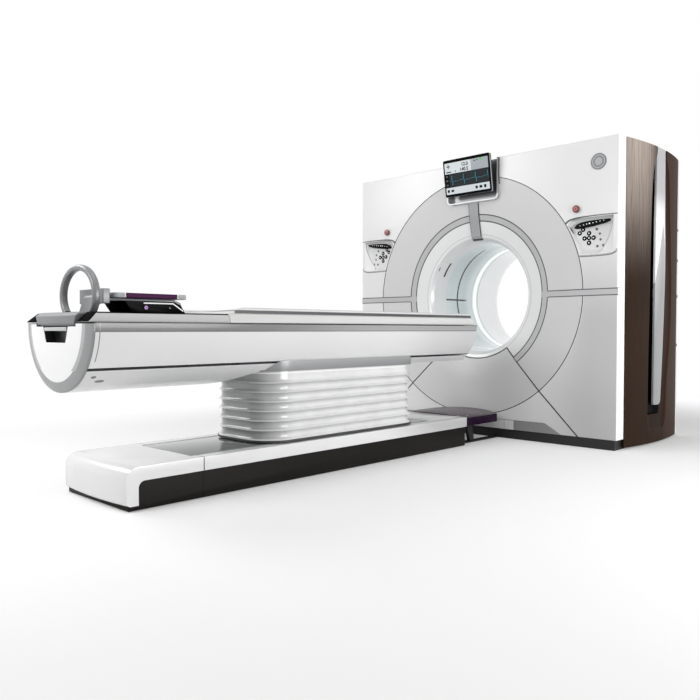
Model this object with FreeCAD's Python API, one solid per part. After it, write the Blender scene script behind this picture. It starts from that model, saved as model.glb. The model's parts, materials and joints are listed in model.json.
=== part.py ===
import FreeCAD, Part
import math
import os

# CT scanner: a ring gantry and a patient table that docks to its front.
# Millimetres, +Z up. The origin lies on the floor under the scan plane's centre.
# The gantry faces -Y, and the table reaches out from it along -Y.

# Gantry, overall
gantry_height = 2000.0
gantry_width = 2200.0
half_width = gantry_width / 2
gantry_front = -400.0          # y of the flat front face
front_cover_depth = 105.0      # how far the front cover's sides return
gantry_rear = 650.0            # y of the rear cover's back face
rear_cover_depth = 60.0
plinth_height = 67.0           # black foot that shows under the front cover
side_bulge = 44.0              # the side panels bow out by this much at mid depth
side_panel_wall = 15.0
cover_wall = 12.0
cover_edge_radius = 8.0
shadow_gap = 4.0               # open seam between neighbouring covers
seat_gap = 0.3                 # clearance where one piece sits in another

# Bore and the dished face around it: radius, and depth behind the front face
isocentre_height = 1019.0
bore_radius = 400.0
mouth_radius = 454.0
mouth_depth = 61.0
ring_inner_radius = 550.0
ring_inner_depth = 40.0
ring_width = 48.0
ring_outer_radius = ring_inner_radius + ring_width
ring_outer_depth = 30.0
dish_radius = half_width - 233.0
funnel_depth = 165.0
funnel_end = -174.0            # y where the front funnel meets the scan window
window_end = 174.0             # y where the scan window meets the light ring
light_ring_end = 270.0
rear_mouth_radius = 470.0
liner_wall = 8.0
trim_depth = 6.0
band_height = 44.0
band_middle_drop = 5.0         # the band's middle lies this far under the isocentre
throat_steps = 4
skin_steps = 2                 # the unseen side of the funnel's and the liner's wall is plainer
line_width = 4.0
line_depth = 4.0

# Lower front panel: two seams run down at 45 degrees from a point under the isocentre
seam_apex_height = isocentre_height - 114.0
dock_pad_height = 134.0
dock_pad_half_top = 603.0
dock_pad_half_foot = 722.0
dock_pad_proud = 6.0

# Control pockets, one each side of the dish
pocket_top = isocentre_height + 486.0
pocket_bottom = isocentre_height + 238.0
pocket_edge = half_width - 28.0
pocket_corner = 34.0
pocket_depth = 28.0
pocket_block = 44.0
pocket_brow = 40.0             # the sloping brow over the display
pocket_sill = 22.0
pocket_cheek = 80.0
pocket_rim = 2.0
key_centre_x = half_width - 207.0
key_centre_z = isocentre_height + 349.0
key_ring_radius = 31.0
key_radius = 12.5
key_travel = 1.5
key_proud = 3.0
key_length = 12.0
key_clearance = 0.4
display_outline = [(-81, 70), (-35, 89), (37, 103), (141, 107), (143, 99), (52, 79), (-33, 68)]
stop_centre_x = half_width - 281.0
stop_centre_z = isocentre_height + 541.0
stop_head_radius = 24.0
stop_stem_radius = 10.0
stop_head_height = 12.0
stop_crown = 4.0
stop_travel = 5.0
badge_centre_x = half_width - 133.0
badge_centre_z = gantry_height - 152.0
badge_radius = 52.0
badge_proud = 3.0

# Monitor and its bay
head_room = gantry_height - isocentre_height - ring_outer_radius
room_share = head_room / 383.0   # the monitor and its bay follow the room over the ring
bay_half_width = 222.0
bay_bottom = gantry_height - 295.0 * room_share
bay_corner = 34.0
bay_depth = 50.0
bay_wall = 10.0
bay_proud = 6.0
strap_width = 84.0
strap_end_radius = 472.0
strap_thickness = 8.0
monitor_width = 402.0
monitor_height = 268.0 * room_share
monitor_thickness = 34.0
monitor_tilt = 9.0             # degrees, the top leans out
monitor_middle_height = gantry_height - 102.0 * room_share
monitor_standoff = 71.0        # screen centre in front of the gantry face
monitor_corner = 14.0
monitor_neck = 52.0

# Side panels: a long recess with a bright tapered blade
recess_front = 0.0
recess_rear = 275.0
recess_bottom = 150.0
recess_top = gantry_height - 100.0
recess_depth = 40.0
recess_tub = 8.0               # wall of the recess
blade_top = (94.0, 236.0)      # front and rear edge at the top of the panel
blade_bottom = (78.0, 166.0)
blade_bottom_height = 270.0
blade_thickness = 22.0

# Vents in the top cover, and in the rear cover
vent_x = 520.0
vent_half = 200.0
vent_start = 60.0
vent_rows = 8
vent_pitch = 38.0
vent_width = 16.0
rear_vent_x = 760.0
rear_vent_half = 130.0
rear_vent_low = 260.0
rear_vent_rows = 7
rear_vent_pitch = 32.0
rear_vent_height = 12.0

# Gantry inside
drum_radius = 800.0
drum_bore = 432.0
drum_front = 110.0
drum_thickness = 40.0
drum_holes = 6
drum_hole_radius = 52.0
hub_length = 110.0
bearing_outer_radius = 600.0
hub_radius = bearing_outer_radius - 55.0
bearing_length = 60.0
frame_plate = 40.0
frame_side_room = 100.0        # the stator frame stands this far inside the covers
frame_top_room = 140.0
gusset_height = 700.0
gusset_thickness = 30.0
gusset_top_depth = 40.0
slip_ring_radius = 690.0
slip_ring_thickness = 26.0
detector_radius = 620.0
detector_half_angle = 28.0
detector_depth = 90.0
detector_width = 200.0
detector_reach = 440.0         # from the bore's axis down to the detector's face, under the tube
detector_slot_radius = 470.0
detector_foot_radius = 600.0
detector_foot_x = 250.0
tube_radius = 95.0
tube_length = 210.0
tube_height = 610.0            # tube centre over the isocentre
tank_inner = 460.0
tank_outer = 660.0
tank_depth = 200.0
tank_half_height = 190.0
counterweight_inner = 470.0
counterweight_outer = 660.0
motor_x = half_width - 240.0
motor_z = isocentre_height - 689.0
pulley_radius = 70.0
belt_width = 28.0
belt_thickness = 5.0
motor_radius = 95.0
motor_length = 190.0
motor_shaft_radius = 16.0
anchor_radius = 11.0
gantry_anchor_x = 1700.0
gantry_anchor_y = 820.0

# Table top
table_foot = -3485.0           # y of the foot end's face
table_head = -803.0
table_half_width = 320.0
table_depth = 300.0            # the section is half an ellipse, this deep
table_rim = 800.0              # z of the section's top
table_wall = 10.0
lower_seam_height = 606.0
band_drop = 36.0               # depth of the band along the rim
beam_inner = 170.0
beam_outer = 230.0
beam_bottom = 690.0
beam_lap = 10.0
cross_height = 60.0
frame_cross_y = -3000.0
hanger_inner = 166.0
hanger_plate = 12.0
pan_thickness = 6.0
well_half_width = 200.0        # the lift reaches up through the pan here
collar_foot = -2545.0
collar_head = -1330.0
collar_half_width = 264.0
collar_edge = 8.0
collar_top = 622.0
collar_bottom = 560.0
collar_corner = 150.0
belly_run = 240.0              # length of the rise at the column's foot side
head_belly = 566.0             # the underside is flatter on the head side of the column
end_cap_depth = 8.0
end_nose = 15.0                # the end face stands this far in front of the rim
end_rim = 74.0                 # width of the rim's slope at the sides
end_rim_foot = 55.0            # and at its lowest point

# Cradle and foot deck
cradle_foot = -2802.0
cradle_half_width = 300.0
cradle_top_half_width = 270.0
cradle_strip_top = 845.0
cradle_top = 878.0
cradle_gap = 3.0
cradle_dish = 16.0
deck_top = 845.0
deck_foot = -3440.0
deck_horn_foot = -3498.0       # beside the latch block the deck reaches this far
deck_slope = 44.0              # its end slopes back by this much
cradle_travel = 1700.0

# Foot end controls
block_half_width = 192.0
block_bottom = 785.0
block_top = 846.0
block_front = -3503.0
paddle_half_width = 107.0
paddle_height = 16.0
paddle_thickness = 12.0
paddle_pin = 3.0
grip_top_half = 122.0
grip_bottom_half = 95.0
grip_bottom = 716.0
grip_depth = 30.0
hoop_y = -3392.0
hoop_half_width = 169.0
hoop_half_height = 134.0
hoop_centre_height = 922.0
hoop_band = 28.0
hoop_depth = 34.0
hoop_round = 8.0
bracket_y = -3322.0
bracket_half_width = 110.0
rail_height = 913.0
rail_half_width = 60.0
rail_thickness = 12.0
rail_end = -2898.0
tray_foot = -3290.0
tray_head = -2916.0
tray_half_width = 120.0
tray_thickness = 22.0
console_foot = -3230.0
console_head = -2915.0
console_half_width = 100.0
console_top = 898.0
console_button_y = -3126.0
console_button_z = 872.0
console_button_radius = 9.0

# Column: carriage, scissor lift and bellows
column_foot = -2536.0
column_head = -1339.0
column_half_width = 240.0
column_corner = 150.0
bellows_bottom = 206.0
bellows_lips = 7
bellows_plain = 62.0           # the band without lips under the collar
rib_reach = 20.0
bellows_wall = 8.0
carriage_plate = 10.0
carriage_lip = 23.0
web_x = 215.0
web_half = 4.0
rail_x = 190.0
rail_half = 12.0
rail_neck_top = 60.0
rail_top = 72.0
shoe_length = 120.0
arm_length = 950.0
arm_pivot_y = -2420.0
arm_pivot_low = 236.0
arm_pivot_high = 575.0
arm_half_height = 20.0
inner_arm_x = 140.0
outer_arm_x = 190.0
arm_half_thickness = 8.0
shaft_radius = 10.0
roller_radius = 15.0
roller_reach = 17.0            # the rollers stand out this far beside the arms
roller_play = 6.5              # the free ends of the arms run with this play
middle_play = 10.0

# Table base
base_foot = -3350.0
base_head = -870.0
base_half_width = 288.0
base_top = 190.0
base_skirt_top = 127.0
base_wall = 12.0
skirt_inset = 8.0
skirt_foot = 3.0
track_foot = -2975.0
track_head = -1180.0
track_half_width = 222.0
track_plate_half_width = 208.0
track_plate_thickness = 8.0
floor_plate = 15.0
table_anchor_x = 470.0
table_anchor_y = 2150.0
table_anchor_middle = -2075.0
bridge_crown = 16.0
bridge_drop = 8.0              # the bridge's edges lie this far under the base's top
bridge_wall = 6.0
bridge_inset = 10.0
bridge_corner = 80.0          # the far corners stop this far short of the middle
tongue_x = 200.0
tongue_half = 25.0
tongue_thickness = 8.0
nose_depth = 74.0
nose_round = 58.0              # the top edge of the base's foot end
nose_chin = 20.0               # its bottom edge
nose_hollow = 30.0             # the inner corner over the skirt
nose_bulge = 18.0
nose_bottom = 24.0
seam_inset = 2.0

iso = isocentre_height
beyond = 40.0                  # how far cutting tools reach past what they cut
parts = {}


def vec(x, y, z):
    return FreeCAD.Vector(x, y, z)


def box(x0, x1, y0, y1, z0, z1):
    return Part.makeBox(x1 - x0, y1 - y0, z1 - z0, vec(x0, y0, z0))


def join(*shapes):
    return shapes[0].multiFuse(list(shapes[1:])).removeSplitter()


def prism(points, along):
    """The closed outline through the points, carried along a vector."""
    return Part.Face(Part.makePolygon(points + [points[0]])).extrude(along)


def prism_xz(outline, y0, y1):
    return prism([vec(x, y0, z) for x, z in outline], vec(0, y1 - y0, 0))


def prism_yz(outline, x0, x1):
    return prism([vec(x0, y, z) for y, z in outline], vec(x1 - x0, 0, 0))


def prism_xy(outline, z0, z1):
    return prism([vec(x, y, z0) for x, y in outline], vec(0, 0, z1 - z0))


def rod_x(y, z, radius, x0, x1):
    return Part.makeCylinder(radius, x1 - x0, vec(x0, y, z), vec(1, 0, 0))


def rod_y(x, z, radius, y0, y1):
    return Part.makeCylinder(radius, y1 - y0, vec(x, y0, z), vec(0, 1, 0))


def rod_z(x, y, radius, z0, z1):
    return Part.makeCylinder(radius, z1 - z0, vec(x, y, z0), vec(0, 0, 1))


def bore_revolve(outline):
    """A ring about the bore's axis from an outline of (radius, y)."""
    points = [vec(r, y, iso) for r, y in outline]
    face = Part.Face(Part.makePolygon(points + [points[0]]))
    return face.revolve(vec(0, 0, iso), vec(0, 1, 0), 360)


def bore_ring(inner, outer, y0, y1):
    return rod_y(0, iso, outer, y0, y1).cut(rod_y(0, iso, inner, y0 - beyond, y1 + beyond))


def round_edges(shape, radius, wanted):
    """Fillets the straight edges that the test picks by their two ends."""
    picked = []
    for edge in shape.Edges:
        if len(edge.Vertexes) == 2 and wanted(edge.Vertexes[0].Point, edge.Vertexes[1].Point):
            picked.append(edge)
    return shape.makeFillet(radius, picked) if picked else shape


def along(axis):
    """Picks edges that run along one axis: 0, 1 or 2."""
    return lambda a, b: max(abs(a[i] - b[i]) for i in range(3) if i != axis) < 1e-6


def rounded_plate(x0, x1, y0, y1, z0, z1, radius):
    """A plate lying flat, with its four upright edges rounded."""
    return round_edges(box(x0, x1, y0, y1, z0, z1), radius, along(2))


def mirrored(shape):
    return shape.mirror(vec(0, 0, 0), vec(1, 0, 0))


def both_sides(shape):
    return join(shape, mirrored(shape))


def pair(shape):
    return Part.makeCompound([shape, mirrored(shape)])


# ---- The gantry's face ----

def throat_line(mouth, depth, throat, mouth_lies, steps):
    """A quarter curve from a throat out to a mouth, as (radius, depth) pairs from the throat outwards."""
    line = []
    for i in range(steps + 1):
        turn = math.radians(90 * i / steps)
        radius = mouth - (mouth - throat) * math.cos(turn)
        line.append((radius, depth - (depth - mouth_lies) * math.sin(turn)))
    return line


face_line = throat_line(mouth_radius, funnel_depth, bore_radius, mouth_depth, throat_steps) + [
    (ring_inner_radius, ring_inner_depth),
    (ring_outer_radius, ring_outer_depth),
    (dish_radius, 0.0),
    (gantry_width, 0.0),
]


def face_depth(radius):
    """How far the dished face lies behind the flat front at a radius from the bore's axis."""
    for (r0, d0), (r1, d1) in zip(face_line, face_line[1:]):
        if radius <= r1:
            return d0 + (d1 - d0) * (radius - r0) / (r1 - r0)
    return 0.0


def face_layer(inner, outer, front, back):
    """A layer of the dished face between two radii, from front to back behind the surface."""
    radii = [inner] + [r for r, depth in face_line if inner < r < outer] + [outer]
    near = [(r, gantry_front + face_depth(r) + front) for r in radii]
    far = [(r, gantry_front + face_depth(r) + back) for r in reversed(radii)]
    return bore_revolve(near + far)


def front_block(inset=0.0):
    """The front cover's outer block, with its front edges rounded."""
    block = box(-half_width + inset, half_width - inset, gantry_front, side_panel_front,
                plinth_height, gantry_height - inset)
    front = lambda a, b: (abs(a[1] - gantry_front) + abs(b[1] - gantry_front) < 1e-6
                          and max(a[2], b[2]) > plinth_height + 1)
    return round_edges(block, cover_edge_radius, front)


def seam_wedge(apex, y0, y1):
    """Everything under two lines that fall at 45 degrees from the apex height."""
    return prism_xz([(0, apex), (apex + beyond, -beyond), (-apex - beyond, -beyond)], y0, y1)


def face_line_groove():
    return bore_revolve([
        (dish_radius - line_width / 2, gantry_front - beyond),
        (dish_radius + line_width / 2, gantry_front - beyond),
        (dish_radius + line_width / 2, gantry_front + line_depth),
        (dish_radius - line_width / 2, gantry_front + line_depth),
    ])


def pocket_outline(grow=0.0):
    """The right pocket's outline: the dish's circle, the top, the cover's edge and the bottom."""
    radius = dish_radius + line_width + 6 - grow
    top = pocket_top + grow
    bottom = pocket_bottom - grow
    edge = pocket_edge + grow
    top_start = math.sqrt(radius ** 2 - (top - pocket_corner - iso) ** 2)
    bottom_start = math.sqrt(radius ** 2 - (bottom - iso) ** 2)
    middle = (top - pocket_corner + bottom) / 2
    middle_x = math.sqrt(radius ** 2 - (middle - iso) ** 2)
    return {
        "radius": radius, "top": top, "bottom": bottom, "edge": edge,
        "arc": [(top_start, top - pocket_corner), (middle_x, middle), (bottom_start, bottom)],
    }


def pocket_wire(y, grow=0.0, brow=0.0, sill=0.0, cheek=0.0):
    """The pocket's outline at a depth, drawn in by the brow, the sill and the cheek."""
    o = pocket_outline(grow)
    lift = lambda z: bottom + (z - o["bottom"]) * (top - bottom) / (o["top"] - o["bottom"])
    top = o["top"] - brow
    bottom = o["bottom"] + sill
    arc = [vec(x, y, lift(z)) for x, z in o["arc"]]
    crown = vec(arc[0].x + pocket_corner * 1.2, y, top)
    corner = vec(o["edge"] - cheek * 0.25, y, top)
    heel = vec(o["edge"] - cheek, y, bottom)
    edges = [
        Part.LineSegment(arc[0], crown).toShape(),
        Part.LineSegment(crown, corner).toShape(),
        Part.LineSegment(corner, heel).toShape(),
        Part.LineSegment(heel, arc[2]).toShape(),
        Part.Arc(arc[2], arc[1], arc[0]).toShape(),
    ]
    return Part.Wire(edges)


def make_front_cover():
    skin = face_layer((ring_inner_radius + ring_outer_radius) / 2, gantry_width, 0, cover_wall)
    skin = skin.common(front_block())
    inner = box(-half_width + cover_wall, half_width - cover_wall, gantry_front - beyond,
                side_panel_front + beyond, -beyond, gantry_height - cover_wall)
    cover = join(skin, front_block().cut(inner))
    backing = face_layer((ring_inner_radius + ring_outer_radius) / 2, ring_outer_radius + 30,
                         cover_wall / 2, cover_wall + trim_depth)
    cover = join(cover, backing)
    cover = cover.cut(seam_wedge(seam_apex_height + shadow_gap / 2, gantry_front - beyond, 0))
    cover = cover.cut(trim_region(seat_gap, trim_depth))
    cover = cover.cut(face_line_groove())
    opening = Part.Face(pocket_wire(gantry_front - beyond, seat_gap)).extrude(vec(0, 200, 0))
    stem = rod_y(stop_centre_x, stop_centre_z, stop_stem_radius + key_clearance,
                 gantry_front - beyond, side_panel_front)
    cover = cover.cut(opening).cut(mirrored(opening)).cut(stem).cut(mirrored(stem))
    bay = monitor_bay_block(seat_gap)
    cover = cover.cut(bay)
    badge = rod_y(badge_centre_x, badge_centre_z, badge_radius, gantry_front - badge_proud, gantry_front + 2)
    return join(cover, badge)


def trim_region(grow, depth):
    """The sunk bed for the ring and the two bands, or with no growth the trim itself."""
    ring = face_layer(ring_inner_radius - grow, ring_outer_radius + grow, -beyond * (grow > 0), depth)
    bands = face_layer(ring_outer_radius - 1, gantry_width, -beyond * (grow > 0), depth)
    middle = iso - band_middle_drop
    slab = box(-half_width - grow, half_width + grow, gantry_front - beyond, side_panel_front,
               middle - band_height / 2 - grow, middle + band_height / 2 + grow)
    return join(ring, bands.common(slab))


def make_front_trim():
    trim = trim_region(0, trim_depth - seat_gap)
    trim = trim.cut(seam_wedge(seam_apex_height + shadow_gap / 2, gantry_front - beyond, 0))
    return trim.common(box(-half_width, half_width, gantry_front - 1, 0, 0, gantry_height))


def make_lower_front_panel():
    panel = face_layer(mouth_radius + shadow_gap, gantry_width, 0, cover_wall)
    wedge = seam_wedge(seam_apex_height - shadow_gap / 2, gantry_front - beyond, 0)
    above_plinth = box(-half_width, half_width, gantry_front - beyond, 0, plinth_height, iso)
    panel = panel.common(wedge).common(above_plinth)
    pad = prism_xz([(-dock_pad_half_foot, plinth_height), (dock_pad_half_foot, plinth_height),
                    (dock_pad_half_top, dock_pad_height), (-dock_pad_half_top, dock_pad_height)],
                   gantry_front - dock_pad_proud, gantry_front + cover_wall)
    pad = round_edges(pad, 40, lambda a, b: along(1)(a, b) and a[2] > dock_pad_height - 1)
    return join(panel, pad).cut(face_line_groove().cut(pad))


def make_bore_funnel():
    ring_middle = (ring_inner_radius + ring_outer_radius) / 2
    bed = ring_inner_depth + trim_depth
    skin = cover_wall
    inside = throat_line(mouth_radius, funnel_depth, bore_radius, mouth_depth, throat_steps)
    outside = throat_line(mouth_radius + skin, funnel_depth, bore_radius + skin, mouth_depth + skin, skin_steps)
    outline = [(bore_radius, funnel_end - gantry_front)] + inside
    outline += [(ring_inner_radius - seat_gap, ring_inner_depth), (ring_inner_radius - seat_gap, bed)]
    outline += [(ring_middle - seat_gap, bed), (ring_middle - seat_gap, bed + skin)]
    outline += list(reversed(outside)) + [(bore_radius + skin, funnel_end - gantry_front)]
    funnel = bore_revolve([(radius, gantry_front + depth) for radius, depth in outline])
    wedge = seam_wedge(seam_apex_height + shadow_gap / 2, gantry_front - beyond, 0)
    core = rod_y(0, iso, mouth_radius, gantry_front - 2 * beyond, beyond)
    return funnel.cut(wedge.cut(core))


def make_scan_window():
    return bore_ring(bore_radius, bore_radius + liner_wall / 2, funnel_end, window_end)


def make_light_ring():
    return bore_ring(bore_radius, bore_radius + liner_wall, window_end, light_ring_end)


def make_rear_liner():
    outer = rear_mouth_radius + liner_wall
    inside = throat_line(rear_mouth_radius, funnel_depth, bore_radius, 0, throat_steps - 1)
    outside = throat_line(outer, funnel_depth, bore_radius + liner_wall, liner_wall, skin_steps)
    end = gantry_rear - light_ring_end
    outline = [(bore_radius, end)] + inside + [(outer, 0)] + list(reversed(outside))
    outline.append((bore_radius + liner_wall, end))
    return bore_revolve([(radius, gantry_rear - depth) for radius, depth in outline])


# ---- Covers round the sides, top and back ----

def side_curve(inset):
    """The side panel's bowed plan line, drawn in from the outside: front, middle and rear point."""
    panel_half = half_width + 5 - inset
    middle = (side_panel_front + side_panel_rear) / 2
    return [
        vec(panel_half, side_panel_front, 0),
        vec(panel_half + side_bulge, middle, 0),
        vec(panel_half, side_panel_rear, 0),
    ]


def bowed_slab(outer_inset, inner_inset, z0, z1):
    """A right-hand slab between two bowed plan lines."""
    a = side_curve(outer_inset)
    b = side_curve(inner_inset)
    edges = [
        Part.Arc(*a).toShape(),
        Part.LineSegment(a[2], b[2]).toShape(),
        Part.Arc(*reversed(b)).toShape(),
        Part.LineSegment(b[0], a[0]).toShape(),
    ]
    slab = Part.Face(Part.Wire(edges)).extrude(vec(0, 0, z1 - z0))
    slab.translate(vec(0, 0, z0))
    return slab


def recess_outline(grow=0.0):
    """The long recess in the side panel, as (y, z): a pointed top and a rounded foot."""
    front = recess_front - grow
    rear = recess_rear + grow
    return [
        (front, recess_bottom - grow + 60), (front + 30, recess_bottom - grow),
        (rear - 60, recess_bottom - 45 - grow), (rear, recess_bottom + 30 - grow),
        (rear - 36, gantry_height + beyond), (front + 92, gantry_height + beyond),
        (front, recess_top + grow),
    ]


def make_side_panel():
    panel = bowed_slab(0, side_panel_wall, plinth_clearance, gantry_height)
    reach = (half_width - 200, half_width + 200)
    pocket = prism_yz(recess_outline(), *reach)
    tub = prism_yz(recess_outline(recess_tub), *reach)
    floor_layer = bowed_slab(recess_depth, recess_depth + recess_tub, plinth_clearance, gantry_height)
    wall_layer = bowed_slab(side_panel_wall - 1, recess_depth + recess_tub, plinth_clearance, gantry_height)
    tub = join(tub.common(floor_layer), tub.cut(pocket).common(wall_layer))
    return join(panel.cut(pocket), tub)


def blade_section(z, front, rear, ridge):
    """One section of the blade: a flat back with a ridge on its outer side."""
    outer = half_width + 5 + side_bulge
    x = lambda y: outer - side_bulge * ((y - side_middle) / side_half_depth) ** 2
    back = outer - blade_thickness - 12
    return Part.makePolygon([
        vec(back, front, z), vec(x(front) - 4, front, z), vec(x(ridge) - 1, ridge, z),
        vec(x(rear) - 5, rear, z), vec(back, rear, z), vec(back, front, z),
    ])


def make_blade():
    top = blade_section(gantry_height, blade_top[0], blade_top[1], blade_top[1] - 14)
    low = blade_section(blade_bottom_height, blade_bottom[0], blade_bottom[1], blade_bottom[0] + 20)
    blade = Part.makeLoft([low, top], True, True)
    mount_y = (blade_bottom[0] + blade_bottom[1]) / 2 + 20
    for z in (blade_bottom_height + 120, iso, gantry_height - 200):
        stand = box(half_width, half_width + 5 + side_bulge - blade_thickness, mount_y - 10, mount_y + 10,
                    z - 30, z + 30)
        blade = join(blade, stand)
    return blade.cut(bowed_slab(recess_depth - seat_gap, 2 * recess_depth, 0, gantry_height))


def make_rear_cover():
    block = box(-half_width, half_width, side_panel_rear, gantry_rear, plinth_clearance, gantry_height)
    block = round_edges(block, 30, lambda a, b: (a[1] + b[1]) / 2 > gantry_rear - 1
                        and max(a[2], b[2]) > plinth_clearance + 1)
    hollow = box(-half_width + cover_wall, half_width - cover_wall, side_panel_rear - beyond,
                 gantry_rear - cover_wall, -beyond, gantry_height - cover_wall)
    cover = block.cut(hollow)
    cover = cover.cut(rod_y(0, iso, rear_mouth_radius + liner_wall + seat_gap, 0, gantry_rear + beyond))
    for row in range(rear_vent_rows):
        z = rear_vent_low + row * rear_vent_pitch
        vent = box(rear_vent_x - rear_vent_half, rear_vent_x + rear_vent_half, gantry_rear - beyond,
                   gantry_rear + beyond, z, z + rear_vent_height)
        cover = cover.cut(vent).cut(mirrored(vent))
    return cover


def make_top_cover():
    right = side_curve(side_panel_wall + seat_gap)
    left = [vec(-p.x, p.y, 0) for p in right]
    edges = [
        Part.Arc(*right).toShape(),
        Part.LineSegment(right[2], left[2]).toShape(),
        Part.Arc(*reversed(left)).toShape(),
        Part.LineSegment(left[0], right[0]).toShape(),
    ]
    cover = Part.Face(Part.Wire(edges)).extrude(vec(0, 0, cover_wall))
    cover.translate(vec(0, 0, gantry_height - cover_wall))
    reach = recess_tub + seat_gap
    notch = bowed_slab(-beyond, recess_depth + reach, gantry_height - beyond, gantry_height + beyond)
    notch = notch.common(prism_yz(recess_outline(reach), half_width / 2, 2 * half_width))
    cover = cover.cut(notch).cut(mirrored(notch))
    for row in range(vent_rows):
        y = vent_start + row * vent_pitch
        vent = box(vent_x - vent_half, vent_x + vent_half, y, y + vent_width, gantry_height - beyond,
                   gantry_height + beyond)
        cover = cover.cut(vent).cut(mirrored(vent))
    return cover


# ---- Control pockets, keys and stop buttons ----

def key_places():
    """The four arrow keys of the right pocket, by name."""
    return {
        "up": (key_centre_x, key_centre_z + key_ring_radius),
        "down": (key_centre_x, key_centre_z - key_ring_radius),
        "out": (key_centre_x - key_ring_radius, key_centre_z),
        "in": (key_centre_x + key_ring_radius, key_centre_z),
    }


def make_control_panel():
    floor_y = gantry_front + pocket_depth
    block = Part.Face(pocket_wire(gantry_front)).extrude(vec(0, pocket_block, 0))
    mouth = pocket_wire(gantry_front - 1, -pocket_rim)
    bottom = pocket_wire(floor_y, -pocket_rim - 6, pocket_brow, pocket_sill, pocket_cheek)
    panel = block.cut(Part.makeLoft([mouth, bottom], True, True))
    display = [(key_centre_x + x, key_centre_z + z) for x, z in display_outline]
    panel = join(panel, prism_xz(display, gantry_front + 12, floor_y + 6))
    centre = rod_y(key_centre_x, key_centre_z, key_radius - 1, floor_y - key_proud + 1, floor_y + 5)
    panel = join(panel, centre)
    for x, z in key_places().values():
        panel = panel.cut(rod_y(x, z, key_radius + key_clearance, floor_y - beyond, floor_y + key_length))
    return panel


def make_key(x, z):
    floor_y = gantry_front + pocket_depth
    return rod_y(x, z, key_radius, floor_y - key_proud, floor_y + key_length - key_travel - 1)


def make_stop_button():
    head_front = gantry_front - stop_travel - 1 - stop_head_height
    head_back = head_front + stop_head_height
    stem = rod_y(stop_centre_x, stop_centre_z, stop_stem_radius, head_back - 1, gantry_front + cover_wall + 12)
    head = Part.makeCone(stop_head_radius - stop_crown, stop_head_radius, stop_head_height,
                         vec(stop_centre_x, head_front, stop_centre_z), vec(0, 1, 0))
    return join(head, stem)


# ---- Monitor ----

def monitor_bay_block(grow=0.0):
    block = box(-bay_half_width - grow, bay_half_width + grow, gantry_front - bay_proud,
                gantry_front + bay_depth + grow, bay_bottom - grow, gantry_height + beyond)
    return round_edges(block, bay_corner + grow, lambda a, b: along(1)(a, b) and a[2] < bay_bottom + 1)


def hinge_point():
    """The monitor's tilt axis, as (y, z)."""
    return gantry_front - 8.0, monitor_middle_height


def make_monitor_bracket():
    tray = monitor_bay_block()
    cavity = box(-bay_half_width + bay_wall, bay_half_width - bay_wall, gantry_front - beyond,
                 gantry_front + bay_depth - bay_wall, bay_bottom + bay_wall, gantry_height + 2 * beyond)
    cavity = round_edges(cavity, bay_corner - bay_wall,
                         lambda a, b: along(1)(a, b) and a[2] < bay_bottom + bay_wall + 1)
    tray = tray.cut(cavity).common(box(-half_width, half_width, gantry_front - beyond, 0, 0, gantry_height))
    strap = face_layer(strap_end_radius, bay_bottom + bay_wall / 2 - iso, -strap_thickness, -seat_gap)
    strap = strap.common(box(-strap_width / 2, strap_width / 2, gantry_front - beyond, 0, iso, gantry_height))
    y, z = hinge_point()
    ears = []
    for side in (-1, 1):
        ear = box(side * 66 - 6, side * 66 + 6, y, gantry_front + bay_depth - bay_wall + 1, z - 18, z + 18)
        ears.append(join(ear, rod_x(y, z, 18, side * 66 - 6, side * 66 + 6)))
    bracket = join(tray, strap, *ears)
    return bracket.cut(rod_x(y, z, 8 + seat_gap, -80, 80))


def make_monitor():
    y, z = hinge_point()
    back = -monitor_standoff + 8
    body = box(-monitor_width / 2, monitor_width / 2, back, back + monitor_thickness,
               -monitor_height / 2, monitor_height / 2)
    body = round_edges(body, monitor_corner, along(1))
    rear_rim = [e for e in body.Edges if all(abs(v.Point[1] - back - monitor_thickness) < 1e-6
                                             for v in e.Vertexes)]
    body = body.makeChamfer(8, rear_rim)
    neck = box(-50, 50, back + monitor_thickness - 2, 0, -20, 20)
    barrel = rod_x(0, 0, 20, -50, 50)
    pin = rod_x(0, 0, 8, -76, 76)
    monitor = join(body, neck, barrel, pin)
    monitor.rotate(vec(0, 0, 0), vec(1, 0, 0), monitor_tilt)
    monitor.translate(vec(0, y, z))
    return monitor


# ---- Inside the gantry ----

def make_gantry_base():
    front = gantry_front + 8
    rear = side_panel_rear - 2
    beams = [
        box(-half_width + 15, half_width - 15, front, front + 90, 0, plinth_height),
        box(-half_width + 15, half_width - 15, rear - 90, rear, 0, plinth_height),
    ]
    for side in (-1, 1):
        x = side * (half_width - 75)
        beams.append(box(x - 60, x + 60, front, rear, 0, plinth_height))
    beams.append(box(-half_width + 75, half_width - 75, -45, 45, 0, plinth_height))
    for side in (-1, 1):
        x = side * gantry_anchor_x / 2
        for end in (-1, 1):
            y = anchor_middle + end * gantry_anchor_y / 2
            beams.append(box(x - 60, x + 60, y - 60, y + 60, 0, 20))
    base = join(*beams)
    for side in (-1, 1):
        for end in (-1, 1):
            x = side * gantry_anchor_x / 2
            y = anchor_middle + end * gantry_anchor_y / 2
            base = base.cut(box(x - 40, x + 40, y - 40, y + 40, 20, plinth_height + 1))
            base = base.cut(rod_z(x, y, anchor_radius, -1, 21))
    return base


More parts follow.
